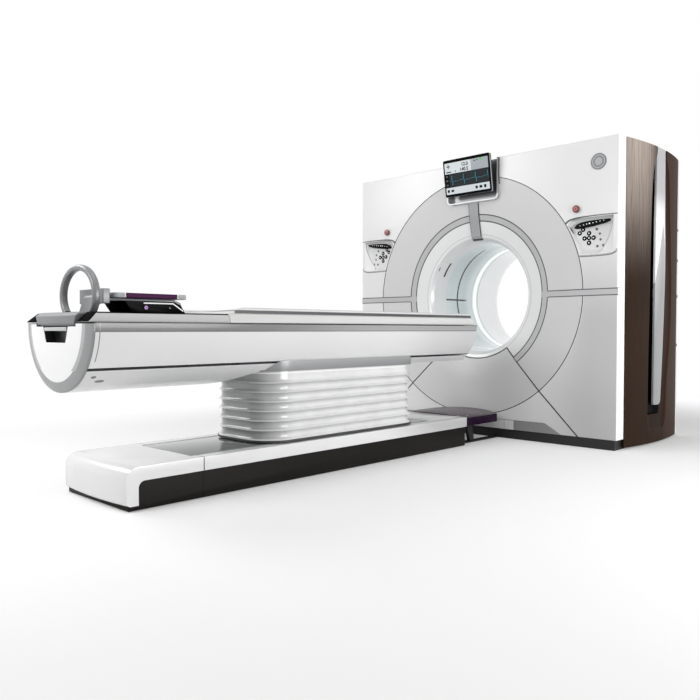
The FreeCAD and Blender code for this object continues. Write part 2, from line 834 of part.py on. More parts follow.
def make_stator_frame():
    y0 = frame_front
    y1 = y0 + frame_plate
    side = half_width - frame_side_room
    plate = box(-side, side, y0, y1, plinth_height, gantry_height - frame_top_room)
    plate = round_edges(plate, 250, lambda a, b: along(1)(a, b) and a[2] > iso)
    plate = plate.cut(rod_y(0, iso, bearing_outer_radius + seat_gap, y0 - beyond, y1 + beyond))
    seat = bore_ring(bearing_outer_radius + seat_gap, bearing_outer_radius + 45,
                     bearing_front, bearing_front + bearing_length)
    gusset = prism_yz([(side_panel_front + 20, plinth_height), (side_panel_rear - 20, plinth_height),
                       (y1 + gusset_top_depth, gusset_height), (y0 - gusset_top_depth, gusset_height)],
                      side - gusset_thickness, side)
    frame = join(plate, seat, both_sides(gusset))
    return frame.cut(rod_y(motor_x, motor_z, motor_shaft_radius + 4, y0 - 1, y1 + 1))


def make_main_bearing():
    return bore_ring(hub_radius + seat_gap, bearing_outer_radius,
                     bearing_front, bearing_front + bearing_length)


def make_rotor_drum():
    rim = bore_ring(drum_bore, drum_radius, drum_front, drum_front + drum_thickness)
    hub = bore_ring(drum_bore, hub_radius, drum_front, drum_front + drum_thickness + hub_length)
    drum = join(rim, hub)
    middle = (hub_radius + drum_radius) / 2
    for i in range(drum_holes):
        angle = math.radians(360 * (i + 0.5) / drum_holes)
        drum = drum.cut(rod_y(middle * math.cos(angle), iso + middle * math.sin(angle), drum_hole_radius,
                              drum_front - 1, drum_front + drum_thickness + 1))
    counterweight = box(-counterweight_outer, -counterweight_inner, -60, drum_front + 1, iso - 150, iso + 150)
    return join(drum, counterweight)


def make_xray_tube():
    z = iso + tube_height
    nose = drum_front - tube_length
    housing = rod_y(0, z, tube_radius, nose + 20, drum_front)
    housing = join(housing, Part.makeCone(tube_radius - 20, tube_radius, 20, vec(0, nose, z), vec(0, 1, 0)))
    collimator = prism_xz([(-70, z - 60), (70, z - 60), (110, iso + 452), (-110, iso + 452)], -60, 60)
    cooler = box(-230, -100, drum_front - 180, drum_front, z - 70, z + 90)
    fins = [box(-240, -90, y, y + 5, z - 76, z + 96) for y in range(-50, 110, 50)]
    return join(housing, collimator, cooler, *fins)


def make_detector_arc():
    a = math.radians(detector_half_angle)
    focus = iso + tube_height
    inner = tube_height + detector_reach
    outer = inner + detector_depth

    def at(radius, angle):
        return vec(radius * math.sin(angle), -detector_width / 2, focus - radius * math.cos(angle))

    edges = [
        Part.Arc(at(inner, -a * 0.9), at(inner, 0), at(inner, a * 0.9)).toShape(),
        Part.LineSegment(at(inner, a * 0.9), at(outer, a * 0.82)).toShape(),
        Part.Arc(at(outer, a * 0.82), at(outer, 0), at(outer, -a * 0.82)).toShape(),
        Part.LineSegment(at(outer, -a * 0.82), at(inner, -a * 0.9)).toShape(),
    ]
    arc = Part.Face(Part.Wire(edges)).extrude(vec(0, detector_width, 0))
    slot = bore_ring(0.1, detector_slot_radius, -detector_width, detector_width)
    foot = [box(x - 30, x + 30, detector_width / 2 - 1, drum_front, iso - detector_foot_radius,
                iso - detector_slot_radius)
            for x in (-detector_foot_x, detector_foot_x)]
    return join(arc.cut(slot), *foot).common(
        bore_ring(detector_slot_radius - 18, drum_radius - 8, -detector_width, drum_front))


def make_generator():
    y0 = drum_front - tank_depth
    tank = box(tank_inner, tank_outer, y0, drum_front, iso - tank_half_height, iso + tank_half_height)
    tank = round_edges(tank, 20, along(1))
    lug = tank_half_height - 70
    return join(tank, box(tank_outer - 20, tank_outer + 40, y0 + 30, drum_front, iso - lug, iso + lug))


def make_slip_ring():
    front = drum_front + drum_thickness + hub_length
    return bore_ring(drum_bore, slip_ring_radius, front, front + slip_ring_thickness)


def make_drive_motor():
    y0 = frame_front + frame_plate
    body = rod_y(motor_x, motor_z, motor_radius, y0, y0 + motor_length)
    foot = box(motor_x - motor_radius - 15, motor_x + motor_radius - 5, y0, y0 + 16, plinth_height, motor_z)
    shaft = rod_y(motor_x, motor_z, motor_shaft_radius, drum_front - 10, y0)
    return join(body, foot, shaft)


def make_motor_pulley():
    y0 = drum_front + (drum_thickness - belt_width) / 2 - 4
    y1 = y0 + belt_width + 8
    pulley = rod_y(motor_x, motor_z, pulley_radius, y0, y1)
    pulley = join(pulley, rod_y(motor_x, motor_z, pulley_radius + 8, y1 - 3, y1))
    return pulley.cut(rod_y(motor_x, motor_z, motor_shaft_radius + seat_gap, y0 - 1, y1 + 1))


def belt_loop(r_big, r_small, y0, y1):
    """The outline of a belt round the drum and the pulley, filled."""
    dx = motor_x
    dz = motor_z - iso
    span = math.hypot(dx, dz)
    lean = math.atan2(dz, dx)
    spread = math.acos((r_big - r_small) / span)
    big = [(r_big * math.cos(lean + s * spread), iso + r_big * math.sin(lean + s * spread)) for s in (1, -1)]
    small = [(dx + r_small * math.cos(lean + s * spread), motor_z + r_small * math.sin(lean + s * spread))
             for s in (1, -1)]
    far = (r_big * math.cos(lean + math.pi), iso + r_big * math.sin(lean + math.pi))
    near = (dx + r_small * math.cos(lean), motor_z + r_small * math.sin(lean))
    at = lambda p: vec(p[0], y0, p[1])
    edges = [
        Part.Arc(at(big[0]), at(far), at(big[1])).toShape(),
        Part.LineSegment(at(big[1]), at(small[1])).toShape(),
        Part.Arc(at(small[1]), at(near), at(small[0])).toShape(),
        Part.LineSegment(at(small[0]), at(big[0])).toShape(),
    ]
    return Part.Face(Part.Wire(edges)).extrude(vec(0, y1 - y0, 0))


def make_drive_belt():
    y0 = drum_front + (drum_thickness - belt_width) / 2
    y1 = y0 + belt_width
    outer = belt_loop(drum_radius + seat_gap + belt_thickness, pulley_radius + seat_gap + belt_thickness, y0, y1)
    inner = belt_loop(drum_radius + seat_gap, pulley_radius + seat_gap, y0 - 1, y1 + 1)
    return outer.cut(inner)


# ---- Table top ----

def table_section(inset, z_low, z_high, y0, y1, rise=0.0):
    """A length of the table's half-ellipse section, drawn in by inset, between two heights."""
    ellipse = Part.Ellipse(vec(0, y0, table_rim), table_half_width - inset, table_depth - inset - rise)
    ellipse.Axis = vec(0, 1, 0)
    shape = Part.Face(Part.Wire([ellipse.toShape()])).extrude(vec(0, y1 - y0, 0))
    return shape.common(box(-table_half_width - 1, table_half_width + 1, y0, y1, z_low, z_high))


def make_table_body():
    y0 = table_foot + end_cap_depth
    outer = table_section(0, lower_seam_height + shadow_gap / 2, table_rim, y0, table_head)
    inner = table_section(table_wall, 0, table_rim + 1, y0 - 1, table_head - 14)
    body = outer.cut(inner)
    groove_z = table_rim - band_drop
    groove = table_section(-5, groove_z - 1.5, groove_z + 1.5, y0, table_head + 5)
    groove = groove.cut(table_section(2.5, 0, table_rim, y0 - 5, table_head - 2))
    return body.cut(groove)


def make_lower_shell():
    y0 = table_foot + end_cap_depth
    top = lower_seam_height - shadow_gap / 2
    belly = table_section(0, head_belly, top, y0, table_head)
    hollow = table_section(table_wall, head_belly + table_wall, top - pan_thickness, y0 - 1, table_head - 14)
    foot = table_section(0, 0, head_belly + table_wall, y0, collar_foot - seat_gap)
    foot_hollow = table_section(table_wall, 0, head_belly + table_wall, y0 - 1, collar_foot + 1)
    shell = join(belly.cut(hollow), foot).cut(foot_hollow.cut(ramp_solid()))
    seat = rounded_plate(-collar_half_width - seat_gap, collar_half_width + seat_gap, collar_foot - seat_gap,
                         collar_head + seat_gap, 0, top - pan_thickness, collar_corner + seat_gap)
    well = box(-well_half_width, well_half_width, collar_foot + 20, collar_head - 20, 0, top + 1)
    return shell.cut(seat).cut(well).cut(foot_rise_cut())


def belly_line():
    """The underside from the flat belly up to the collar on the foot side, as (y, z)."""
    low = table_rim - table_depth
    return [(collar_foot - belly_run, low), (collar_foot - belly_run * 0.62, low + 14),
            (collar_foot - belly_run * 0.28, low + 42), (collar_foot - seat_gap, collar_bottom)]


def foot_rise_cut():
    """Everything under the rising belly."""
    line = belly_line()
    outline = [(line[0][0], line[0][1] - 1)] + line[1:] + [(collar_foot + 20, collar_bottom)]
    outline += [(collar_foot + 20, line[0][1] - beyond), (line[0][0], line[0][1] - beyond)]
    return prism_yz(outline, -table_half_width, table_half_width)


def ramp_solid():
    """The stretch of wall over the rising underside."""
    line = belly_line()
    outline = [(y, z - 2) for y, z in line] + [(y - table_wall / 2, z + table_wall) for y, z in reversed(line)]
    return prism_yz(outline, -table_half_width, table_half_width)


def make_column_collar():
    """The silver collar round the column. It laps up over the belly at the sides."""
    seat = lower_seam_height - shadow_gap / 2 - pan_thickness - seat_gap
    collar = rounded_plate(-collar_half_width, collar_half_width, collar_foot, collar_head,
                           collar_bottom, collar_top, collar_corner)
    rim = [e for e in collar.Edges if all(abs(v.Point.z - collar_top) < 1e-6 for v in e.Vertexes)]
    collar = collar.makeChamfer(collar_edge, rim)
    collar = collar.cut(table_section(-seat_gap, seat, table_rim, collar_foot - 1, collar_head + 1))
    well = rounded_plate(-well_half_width - 6, well_half_width + 6, collar_foot + 36, collar_head - 36,
                         collar_bottom - 1, collar_top + 1, collar_corner - 50)
    return collar.cut(well)


def make_table_frame():
    top = table_rim + cradle_gap - seat_gap
    frame = [box(beam_inner, beam_outer, table_foot + 60, table_head - 30, beam_bottom, top)]
    hanger = arm_pivot_high - 18
    high = beam_bottom + beam_lap
    frame.append(box(hanger_inner, hanger_inner + hanger_plate, arm_pivot_y - 24, arm_pivot_y + 24, hanger, high))
    y0, y1 = roller_run()
    upper = arm_pivot_high + roller_radius + roller_play
    lower = arm_pivot_high - roller_radius - roller_play
    x0 = inner_arm_x + arm_half_thickness + 2
    x1 = inner_arm_x + arm_half_thickness + roller_reach + 6
    frame.append(box(x0, x1, y0, y1, upper, upper + 5))
    frame.append(box(x0, x1, y0, y1, lower - 5, lower))
    frame.append(box(x1 - 6, x1, y0, y1, lower - 5, high))
    pieces = [both_sides(piece) for piece in frame]
    for y in (table_foot + 62, frame_cross_y, collar_foot + 60, collar_head - 80, table_head - 60):
        pieces.append(table_section(table_wall + seat_gap, high, high + cross_height, y, y + 24))
    frame = join(*pieces)
    return frame.cut(rod_x(arm_pivot_y, arm_pivot_high, shaft_radius + seat_gap, -200, 200))


def end_nose_oval(y, share):
    """The end's outline at y, drawn in by a share of the rim's slope."""
    ellipse = Part.Ellipse(vec(0, y, table_rim), table_half_width - end_rim * share, table_depth - end_rim_foot * share)
    ellipse.Axis = vec(0, 1, 0)
    return Part.Wire([ellipse.toShape()])


def make_foot_end_cap():
    y1 = table_foot + end_cap_depth - seat_gap
    face = table_foot - end_nose
    nose = Part.makeLoft([end_nose_oval(table_foot, 0), end_nose_oval(table_foot - end_nose * 0.65, 0.4),
                          end_nose_oval(face, 1)], True, True)
    nose = nose.common(box(-table_half_width, table_half_width, face - 1, table_foot + 1, 0, table_rim))
    back = table_section(table_wall + 14, 0, table_rim + 1, table_foot - 4, y1 + 1)
    cap = join(table_section(0, 0, table_rim, table_foot, y1), nose).cut(back)
    grip = grip_outline(0)
    tub = prism_xz(grip_outline(5), table_foot - 5, table_foot + grip_depth + 5)
    cap = join(cap, tub).cut(prism_xz(grip, face - 5, table_foot + grip_depth))
    block = box(-block_half_width - seat_gap, block_half_width + seat_gap, table_foot - 20, y1 + 1,
                block_bottom - seat_gap, block_top + 10)
    return cap.cut(block).cut(rod_x(*paddle_pivot(), paddle_pin + key_clearance,
                                    -grip_top_half - 3, grip_top_half + 3))


def grip_outline(grow):
    """The hand recess under the release paddle, as (x, z)."""
    return [(-grip_top_half - grow, block_bottom), (grip_top_half + grow, block_bottom),
            (grip_bottom_half + grow, grip_bottom - grow), (-grip_bottom_half - grow, grip_bottom - grow)]


def make_latch_block():
    w = block_half_width
    half = [(w - 34, block_bottom), (w - 18, block_bottom + 8), (w + 8, block_top - 10), (w, block_top)]
    outline = half + [(-x, z) for x, z in reversed(half)]
    block = prism_xz(outline, block_front, deck_foot - seat_gap)
    brow = prism_yz([(block_front - 1, block_top - 16), (block_front + 22, block_top + 1),
                     (block_front - 1, block_top + 1)], -w - 10, w + 10)
    chin = prism_yz([(block_front - 1, block_bottom - 1), (block_front + 14, block_bottom - 1),
                     (block_front - 1, block_bottom + 14)], -w - 10, w + 10)
    return block.cut(brow).cut(chin)


def paddle_pivot():
    """The release paddle's axis, as (y, z)."""
    return table_foot - end_nose + 6.0, block_bottom - paddle_height / 2


def make_release_paddle():
    y, z = paddle_pivot()
    paddle = box(-paddle_half_width, paddle_half_width, y - 8, y - 8 + paddle_thickness,
                 z - paddle_height + 5, z + 5)
    paddle = round_edges(paddle, 3, along(0))
    return join(paddle, rod_x(y, z, paddle_pin, -grip_top_half - 2, grip_top_half + 2))


def make_foot_deck():
    outline = [(-cradle_half_width, table_rim + cradle_gap), (cradle_half_width, table_rim + cradle_gap),
               (cradle_half_width, table_rim + cradle_gap + 10), (cradle_half_width - 16, deck_top),
               (-cradle_half_width + 16, deck_top), (-cradle_half_width, table_rim + cradle_gap + 10)]
    deck = prism_xz(outline, deck_horn_foot, cradle_foot - 2)
    w = block_half_width + 8 + seat_gap
    block = box(-w, w, deck_horn_foot - 1, deck_foot, table_rim, deck_top + 5)
    slope = prism_yz([(deck_horn_foot - 1, table_rim + cradle_gap + 4), (deck_horn_foot, table_rim + cradle_gap + 4),
                      (deck_horn_foot + deck_slope, deck_top + 1), (deck_horn_foot - 1, deck_top + 1)],
                     -cradle_half_width - 1, cradle_half_width + 1)
    return deck.cut(block).cut(slope)


def make_hoop_handle():
    def oval(inset, y):
        ellipse = Part.Ellipse(vec(0, y, hoop_centre_height), hoop_half_width - inset, hoop_half_height - inset)
        ellipse.Axis = vec(0, 1, 0)
        return Part.Wire([ellipse.toShape()])

    front = hoop_y - hoop_depth / 2
    back = hoop_y + hoop_depth / 2
    stations = [(hoop_round, front), (0, front + hoop_round), (0, back - hoop_round), (hoop_round, back)]
    outer = Part.makeLoft([oval(inset, y) for inset, y in stations], True, True)
    inner = Part.makeLoft([oval(hoop_band - inset, y) for inset, y in stations], True, True)
    ring = outer.cut(inner)
    return ring.common(box(-hoop_half_width - 1, hoop_half_width + 1, front - 1, back + 1,
                           deck_top, deck_top + 2 * hoop_half_height))


def make_tray_bracket():
    top = rail_height
    bar = box(-bracket_half_width, bracket_half_width, bracket_y - 18, bracket_y + 18, top - 26, top + 38)
    bar = round_edges(bar, 6, along(2))
    arm = prism_yz([(hoop_y + hoop_depth / 2 + 2, deck_top), (bracket_y - 20, deck_top),
                    (bracket_y + 12, top - 10), (bracket_y - 18, top + 10), (bracket_y - 30, top)], -48, 48)
    rail = [(bracket_y + 10, top), (rail_end - 60, top), (rail_end - 20, top - 14), (rail_end, deck_top),
            (rail_end - rail_thickness, deck_top), (rail_end - 30, top - 22),
            (rail_end - 64, top - rail_thickness), (bracket_y + 10, top - rail_thickness)]
    return join(bar, arm, prism_yz(rail, -rail_half_width, rail_half_width))


def make_tray():
    z0 = rail_height + seat_gap
    tray = rounded_plate(-tray_half_width, tray_half_width, tray_foot, tray_head, z0, z0 + tray_thickness, 22)
    dish = rounded_plate(-tray_half_width + 12, tray_half_width - 12, tray_foot + 12, tray_head - 12,
                         z0 + 8, z0 + tray_thickness + 1, 14)
    return tray.cut(dish)


def make_console():
    top = rail_height - rail_thickness - seat_gap
    outline = [(console_foot + 40, deck_top), (console_head - 2, deck_top), (console_head - 26, top - 16),
               (console_head - 60, top), (console_foot, top)]
    body = prism_yz(outline, -console_half_width, console_half_width)
    y, z = console_button_y, console_button_z
    x = console_half_width
    return body.cut(rod_x(y, z, console_button_radius + key_clearance, x - 12, x + 1))


def make_console_button():
    x = console_half_width
    return rod_x(console_button_y, console_button_z, console_button_radius, x - 12 + 2, x + 3)


def make_cradle():
    low = table_rim + cradle_gap
    strip_top = cradle_strip_top
    w = cradle_half_width
    t = cradle_top_half_width
    sides = [
        Part.LineSegment(vec(w, cradle_foot, low), vec(w, cradle_foot, low + 10)).toShape(),
        Part.LineSegment(vec(w, cradle_foot, low + 10), vec(w - 14, cradle_foot, strip_top)).toShape(),
        Part.LineSegment(vec(w - 14, cradle_foot, strip_top), vec(t, cradle_foot, strip_top + 4)).toShape(),
        Part.LineSegment(vec(t, cradle_foot, strip_top + 4), vec(t, cradle_foot, cradle_top)).toShape(),
        Part.Arc(vec(t, cradle_foot, cradle_top), vec(0, cradle_foot, cradle_top - cradle_dish),
                 vec(-t, cradle_foot, cradle_top)).toShape(),
        Part.LineSegment(vec(-t, cradle_foot, cradle_top), vec(-t, cradle_foot, strip_top + 4)).toShape(),
        Part.LineSegment(vec(-t, cradle_foot, strip_top + 4), vec(-w + 14, cradle_foot, strip_top)).toShape(),
        Part.LineSegment(vec(-w + 14, cradle_foot, strip_top), vec(-w, cradle_foot, low + 10)).toShape(),
        Part.LineSegment(vec(-w, cradle_foot, low + 10), vec(-w, cradle_foot, low)).toShape(),
        Part.LineSegment(vec(-w, cradle_foot, low), vec(w, cradle_foot, low)).toShape(),
    ]
    cradle = Part.Face(Part.Wire(sides)).extrude(vec(0, table_head - cradle_foot, 0))
    ramp = prism_yz([(cradle_foot - 1, strip_top + 2), (cradle_foot + 110, cradle_top + 1),
                     (cradle_foot - 1, cradle_top + 1)], -w, w)
    nose = prism_yz([(table_head - 40, cradle_top + 1), (table_head + 1, cradle_top - 16),
                     (table_head + 1, cradle_top + 1)], -w, w)
    return cradle.cut(ramp).cut(nose)


# ---- Column ----

def rounded_outline(grow, z):
    """The column's rounded rectangle at a height, grown outwards: four sides and four corners."""
    x = column_half_width + grow
    y0 = column_foot - grow
    y1 = column_head + grow
    r = column_corner + grow
    d = r * (1 - math.sqrt(0.5))
    corner = [
        (vec(x, y0 + r, z), vec(x, y1 - r, z)),
        (vec(x - r, y1, z), vec(-x + r, y1, z)),
        (vec(-x, y1 - r, z), vec(-x, y0 + r, z)),
        (vec(-x + r, y0, z), vec(x - r, y0, z)),
    ]
    middles = [vec(x - d, y1 - d, z), vec(-x + d, y1 - d, z), vec(-x + d, y0 + d, z), vec(x - d, y0 + d, z)]
    edges = []
    for i in range(4):
        start, end = corner[i]
        edges.append(Part.LineSegment(start, end).toShape())
        edges.append(Part.Arc(end, middles[i], corner[(i + 1) % 4][0]).toShape())
    return Part.Wire(edges)


def rib_stack():
    """The bellows' outside: thin lips stand out, with broad hollows drawn in between them."""
    height = collar_bottom - seat_gap - bellows_bottom
    pitch = (height - bellows_plain) / (bellows_lips - 1)
    stations = []
    for lip in range(bellows_lips):
        stations += [(lip * pitch, rib_reach), (lip * pitch + 0.2 * pitch, rib_reach * 0.3)]
        if lip < bellows_lips - 1:
            stations.append((lip * pitch + 0.88 * pitch, rib_reach * 0.08))
    stations.append((height, 0.0))
    wires = [rounded_outline(reach, bellows_bottom + level) for level, reach in stations]
    return Part.makeLoft(wires, True, True)


def make_bellows():
    inside = Part.makeLoft([rounded_outline(-bellows_wall, bellows_bottom - 1),
                            rounded_outline(-bellows_wall, collar_bottom + 1)], True, True)
    return rib_stack().cut(inside)


def make_column_carriage():
    z1 = bellows_bottom
    z0 = z1 - carriage_plate
    plate = Part.Face(rounded_outline(carriage_lip, z0)).extrude(vec(0, 0, carriage_plate))
    web_foot = column_foot + 170
    web_head = column_head - 170
    fittings = [box(web_x - web_half, web_x + web_half, web_foot, web_head, rail_top - 10, z0 + 1)]
    for y in (web_foot, web_head - shoe_length):
        shoe = box(rail_x - rail_half - 17, web_x + web_half, y, y + shoe_length, rail_neck_top + seat_gap,
                   rail_top + 20)
        groove = box(rail_x - rail_half - seat_gap, rail_x + rail_half + seat_gap, y - 1, y + shoe_length + 1,
                     rail_neck_top, rail_top + seat_gap)
        fittings.append(shoe.cut(groove))
    ear_x = inner_arm_x + arm_half_thickness + 9
    fittings.append(box(ear_x - 6, ear_x + 6, arm_pivot_y - 26, arm_pivot_y + 26, z1 - 1, arm_pivot_low + 18))
    guide_x = outer_arm_x - arm_half_thickness - roller_reach
    y0, y1 = roller_run()
    top = arm_pivot_low + roller_radius + roller_play
    fittings.append(box(guide_x - 6, outer_arm_x - arm_half_thickness - 2, y0, y1, top, top + 4))
    fittings.append(box(guide_x - 6, guide_x - 2, y0, y1, z1 - 1, top + 4))
    carriage = join(plate, *[both_sides(fitting) for fitting in fittings])
    return carriage.cut(rod_x(arm_pivot_y, arm_pivot_low, shaft_radius + seat_gap, -rail_x, rail_x))


def arm_bar(x, start, end):
    """A flat bar with round ends between two points (y, z)."""
    length = math.hypot(end[0] - start[0], end[1] - start[1])
    lean = math.degrees(math.atan2(end[1] - start[1], end[0] - start[0]))
    x0 = x - arm_half_thickness
    x1 = x + arm_half_thickness
    bar = box(x0, x1, 0, length, -arm_half_height, arm_half_height)
    bar = join(bar, rod_x(0, 0, arm_half_height, x0, x1), rod_x(length, 0, arm_half_height, x0, x1))
    bar.rotate(vec(0, 0, 0), vec(1, 0, 0), lean)
    bar.translate(vec(0, start[0], start[1]))
    return bar


def arm_reach():
    """How far along Y an arm spans at rest."""
    rise = arm_pivot_high - arm_pivot_low
    return math.sqrt(arm_length ** 2 - rise ** 2)


def roller_run():
    """The stretch of Y that the arms' free ends roll along, with an end allowance."""
    return arm_pivot_y + arm_length * 0.878 - 40, arm_pivot_y + arm_length + 30


def make_scissor_inner_arms():
    low = (arm_pivot_y, arm_pivot_low)
    high = (arm_pivot_y + arm_reach(), arm_pivot_high)
    middle = ((low[0] + high[0]) / 2, (low[1] + high[1]) / 2)
    pieces = [
        arm_bar(-inner_arm_x, low, high),
        arm_bar(inner_arm_x, low, high),
        rod_x(*low, shaft_radius, -inner_arm_x - 22, inner_arm_x + 22),
        rod_x(*high, roller_radius, inner_arm_x + 7, inner_arm_x + 7 + roller_reach),
        rod_x(*high, roller_radius, -inner_arm_x - 7 - roller_reach, -inner_arm_x - 7),
        rod_x(*high, shaft_radius, -inner_arm_x, inner_arm_x),
        rod_x(*middle, shaft_radius, -outer_arm_x - 10, outer_arm_x + 10),
    ]
    return join(*pieces)


def make_scissor_outer_arms():
    high = (arm_pivot_y, arm_pivot_high)
    low = (arm_pivot_y + arm_reach(), arm_pivot_low)
    middle = ((low[0] + high[0]) / 2, (low[1] + high[1]) / 2)
    pieces = [
        arm_bar(-outer_arm_x, high, low),
        arm_bar(outer_arm_x, high, low),
        rod_x(*high, shaft_radius, -outer_arm_x, outer_arm_x),
        rod_x(*low, roller_radius, outer_arm_x - 7 - roller_reach, outer_arm_x - 7),
        rod_x(*low, roller_radius, -outer_arm_x + 7, -outer_arm_x + 7 + roller_reach),
    ]
    arms = join(*pieces)
    slack = shaft_radius + middle_play
    for side in (-1, 1):
        eye = side * outer_arm_x
        arms = arms.cut(rod_x(*middle, min(slack, arm_half_height - 3), eye - 10, eye + 10))
    return arms


# ---- Table base ----

def make_table_base():
    plate = box(-base_half_width + 30, base_half_width - 30, base_foot + 70, base_head - 20, 0, floor_plate)
    deck = base_top - track_plate_thickness
    spine = box(-60, 60, track_foot + seat_gap, track_head - seat_gap, floor_plate - 1, deck)
    rail = box(rail_x - rail_half / 2, rail_x + rail_half / 2, track_foot - 40, track_head + 60,
               floor_plate - 1, rail_neck_top + 1)
    rail = join(rail, box(rail_x - rail_half, rail_x + rail_half, track_foot - 40, track_head + 60,
                          rail_neck_top, rail_top))
    posts = [box(-200, 200, y, y + 20, floor_plate - 1, base_top - base_wall - seat_gap)
             for y in (base_foot + 90, track_foot - 82, track_head + 62, base_head - 60)]
    tongue = box(tongue_x - tongue_half, tongue_x + tongue_half, base_head - 40,
                 gantry_front - dock_pad_proud - seat_gap, 0, tongue_thickness)
    ceiling = base_top - bridge_drop - bridge_wall - seat_gap
    strut = prism_yz([(base_head + 150, tongue_thickness - 1), (base_head + 200, tongue_thickness - 1),
                      (base_head + 157, ceiling), (base_head + 92, ceiling)], tongue_x - 12, tongue_x + 12)
    base = join(plate, spine, both_sides(rail), both_sides(tongue), both_sides(strut), *posts)
    for side in (-1, 1):
        for end in (-1, 1):
            x = side * table_anchor_x / 2
            y = table_anchor_middle + end * table_anchor_y / 2
            base = base.cut(rod_z(x, y, anchor_radius, -1, floor_plate + 1))
    return base


def make_base_cover():
    x = base_half_width
    low = base_skirt_top + 1
    bulge = base_foot + nose_bulge
    side = [(base_foot, nose_bottom), (base_foot, base_top), (base_head, base_top), (base_head, low),
            (base_foot + nose_depth, low), (base_foot + nose_depth, nose_bottom)]
    plan = Part.Face(Part.Wire([
        Part.Arc(vec(-x, bulge, 0), vec(0, base_foot, 0), vec(x, bulge, 0)).toShape(),
        Part.makePolygon([vec(x, bulge, 0), vec(x, base_head, 0), vec(-x, base_head, 0), vec(-x, bulge, 0)]),
    ])).extrude(vec(0, 0, base_top + 1))
    shell = prism_yz(side, -x, x).common(plan)
    shell = round_edges(shell, nose_hollow, lambda a, b: along(0)(a, b) and a[1] > bulge + 1
                        and a[1] < base_foot + nose_depth + 1 and a[2] > low - 1)
    front = lambda z: lambda a, b: max(a[1], b[1]) < bulge + 1 and abs(a[2] - z) + abs(b[2] - z) < 1e-6
    shell = round_edges(shell, nose_round, front(base_top))
    shell = round_edges(shell, nose_chin, front(nose_bottom))
    hollow = box(-x + base_wall, x - base_wall, base_foot + nose_depth + base_wall, base_head - base_wall,
                 -1, base_top - base_wall)
    window = box(-track_half_width, track_half_width, track_foot, track_head, 0, base_top + 1)
    lining = box(-track_half_width - 8, track_half_width + 8, track_foot - 8, track_head + 8, low, base_top - 1)
    return join(shell.cut(hollow), lining).cut(window)


def make_base_skirt():
    x = base_half_width - skirt_inset
    toe = base_foot + nose_bulge + skirt_inset + 4
    y0 = base_foot + nose_depth + seat_gap
    outer = box(-x, x, toe, base_head - skirt_inset, skirt_foot, base_skirt_top + 1)
    front = box(-x - 1, x + 1, base_foot - 1, y0, nose_bottom - seat_gap, base_skirt_top + 2)
    outer = round_edges(outer.cut(front), nose_hollow + seat_gap,
                        lambda a, b: along(0)(a, b) and abs(a[1] - y0) < 1 and a[2] > base_skirt_top)
    inner = box(-x + base_wall, x - base_wall, toe + base_wall, base_head - skirt_inset - base_wall,
                0, base_skirt_top + 2)
    slot = box(tongue_x - tongue_half - seat_gap, tongue_x + tongue_half + seat_gap, base_head - 60, base_head + 1,
               0, tongue_thickness + seat_gap)
    return outer.cut(inner).cut(slot).cut(mirrored(slot))


def make_track_plate():
    z0 = base_top - track_plate_thickness
    return box(-track_plate_half_width, track_plate_half_width, track_foot + 3, track_head - 3, z0, base_top)


def make_dock_bridge():
    y0 = base_head + seat_gap
    y1 = gantry_front - dock_pad_proud - seat_gap
    z0 = base_skirt_top
    edge = base_top - bridge_drop
    x = base_half_width - bridge_inset
    end = Part.Wire([
        Part.makePolygon([vec(-x, y0, edge), vec(-x, y0, z0), vec(x, y0, z0), vec(x, y0, edge)]),
        Part.Arc(vec(x, y0, edge), vec(0, y0, edge + bridge_crown), vec(-x, y0, edge)).toShape(),
    ])
    bridge = Part.Face(end).extrude(vec(0, y1 - y0, 0))
    corner = y1 - bridge_corner
    plan = Part.Face(Part.Wire([
        Part.makePolygon([vec(-x, corner, 0), vec(-x, y0, 0), vec(x, y0, 0), vec(x, corner, 0)]),
        Part.Arc(vec(x, corner, 0), vec(0, y1, 0), vec(-x, corner, 0)).toShape(),
    ])).extrude(vec(0, 0, gantry_height))
    hollow = box(-x + bridge_wall, x - bridge_wall, y0 - 1, corner - bridge_wall, z0 - 1, edge - bridge_wall)
    return bridge.common(plan).cut(hollow)


side_panel_front = gantry_front + front_cover_depth
side_panel_rear = gantry_rear - rear_cover_depth
plinth_clearance = 10.0
side_middle = (side_panel_front + side_panel_rear) / 2
side_half_depth = (side_panel_rear - side_panel_front) / 2
anchor_middle = side_middle
bearing_front = drum_front + drum_thickness + 12
frame_front = bearing_front + 8


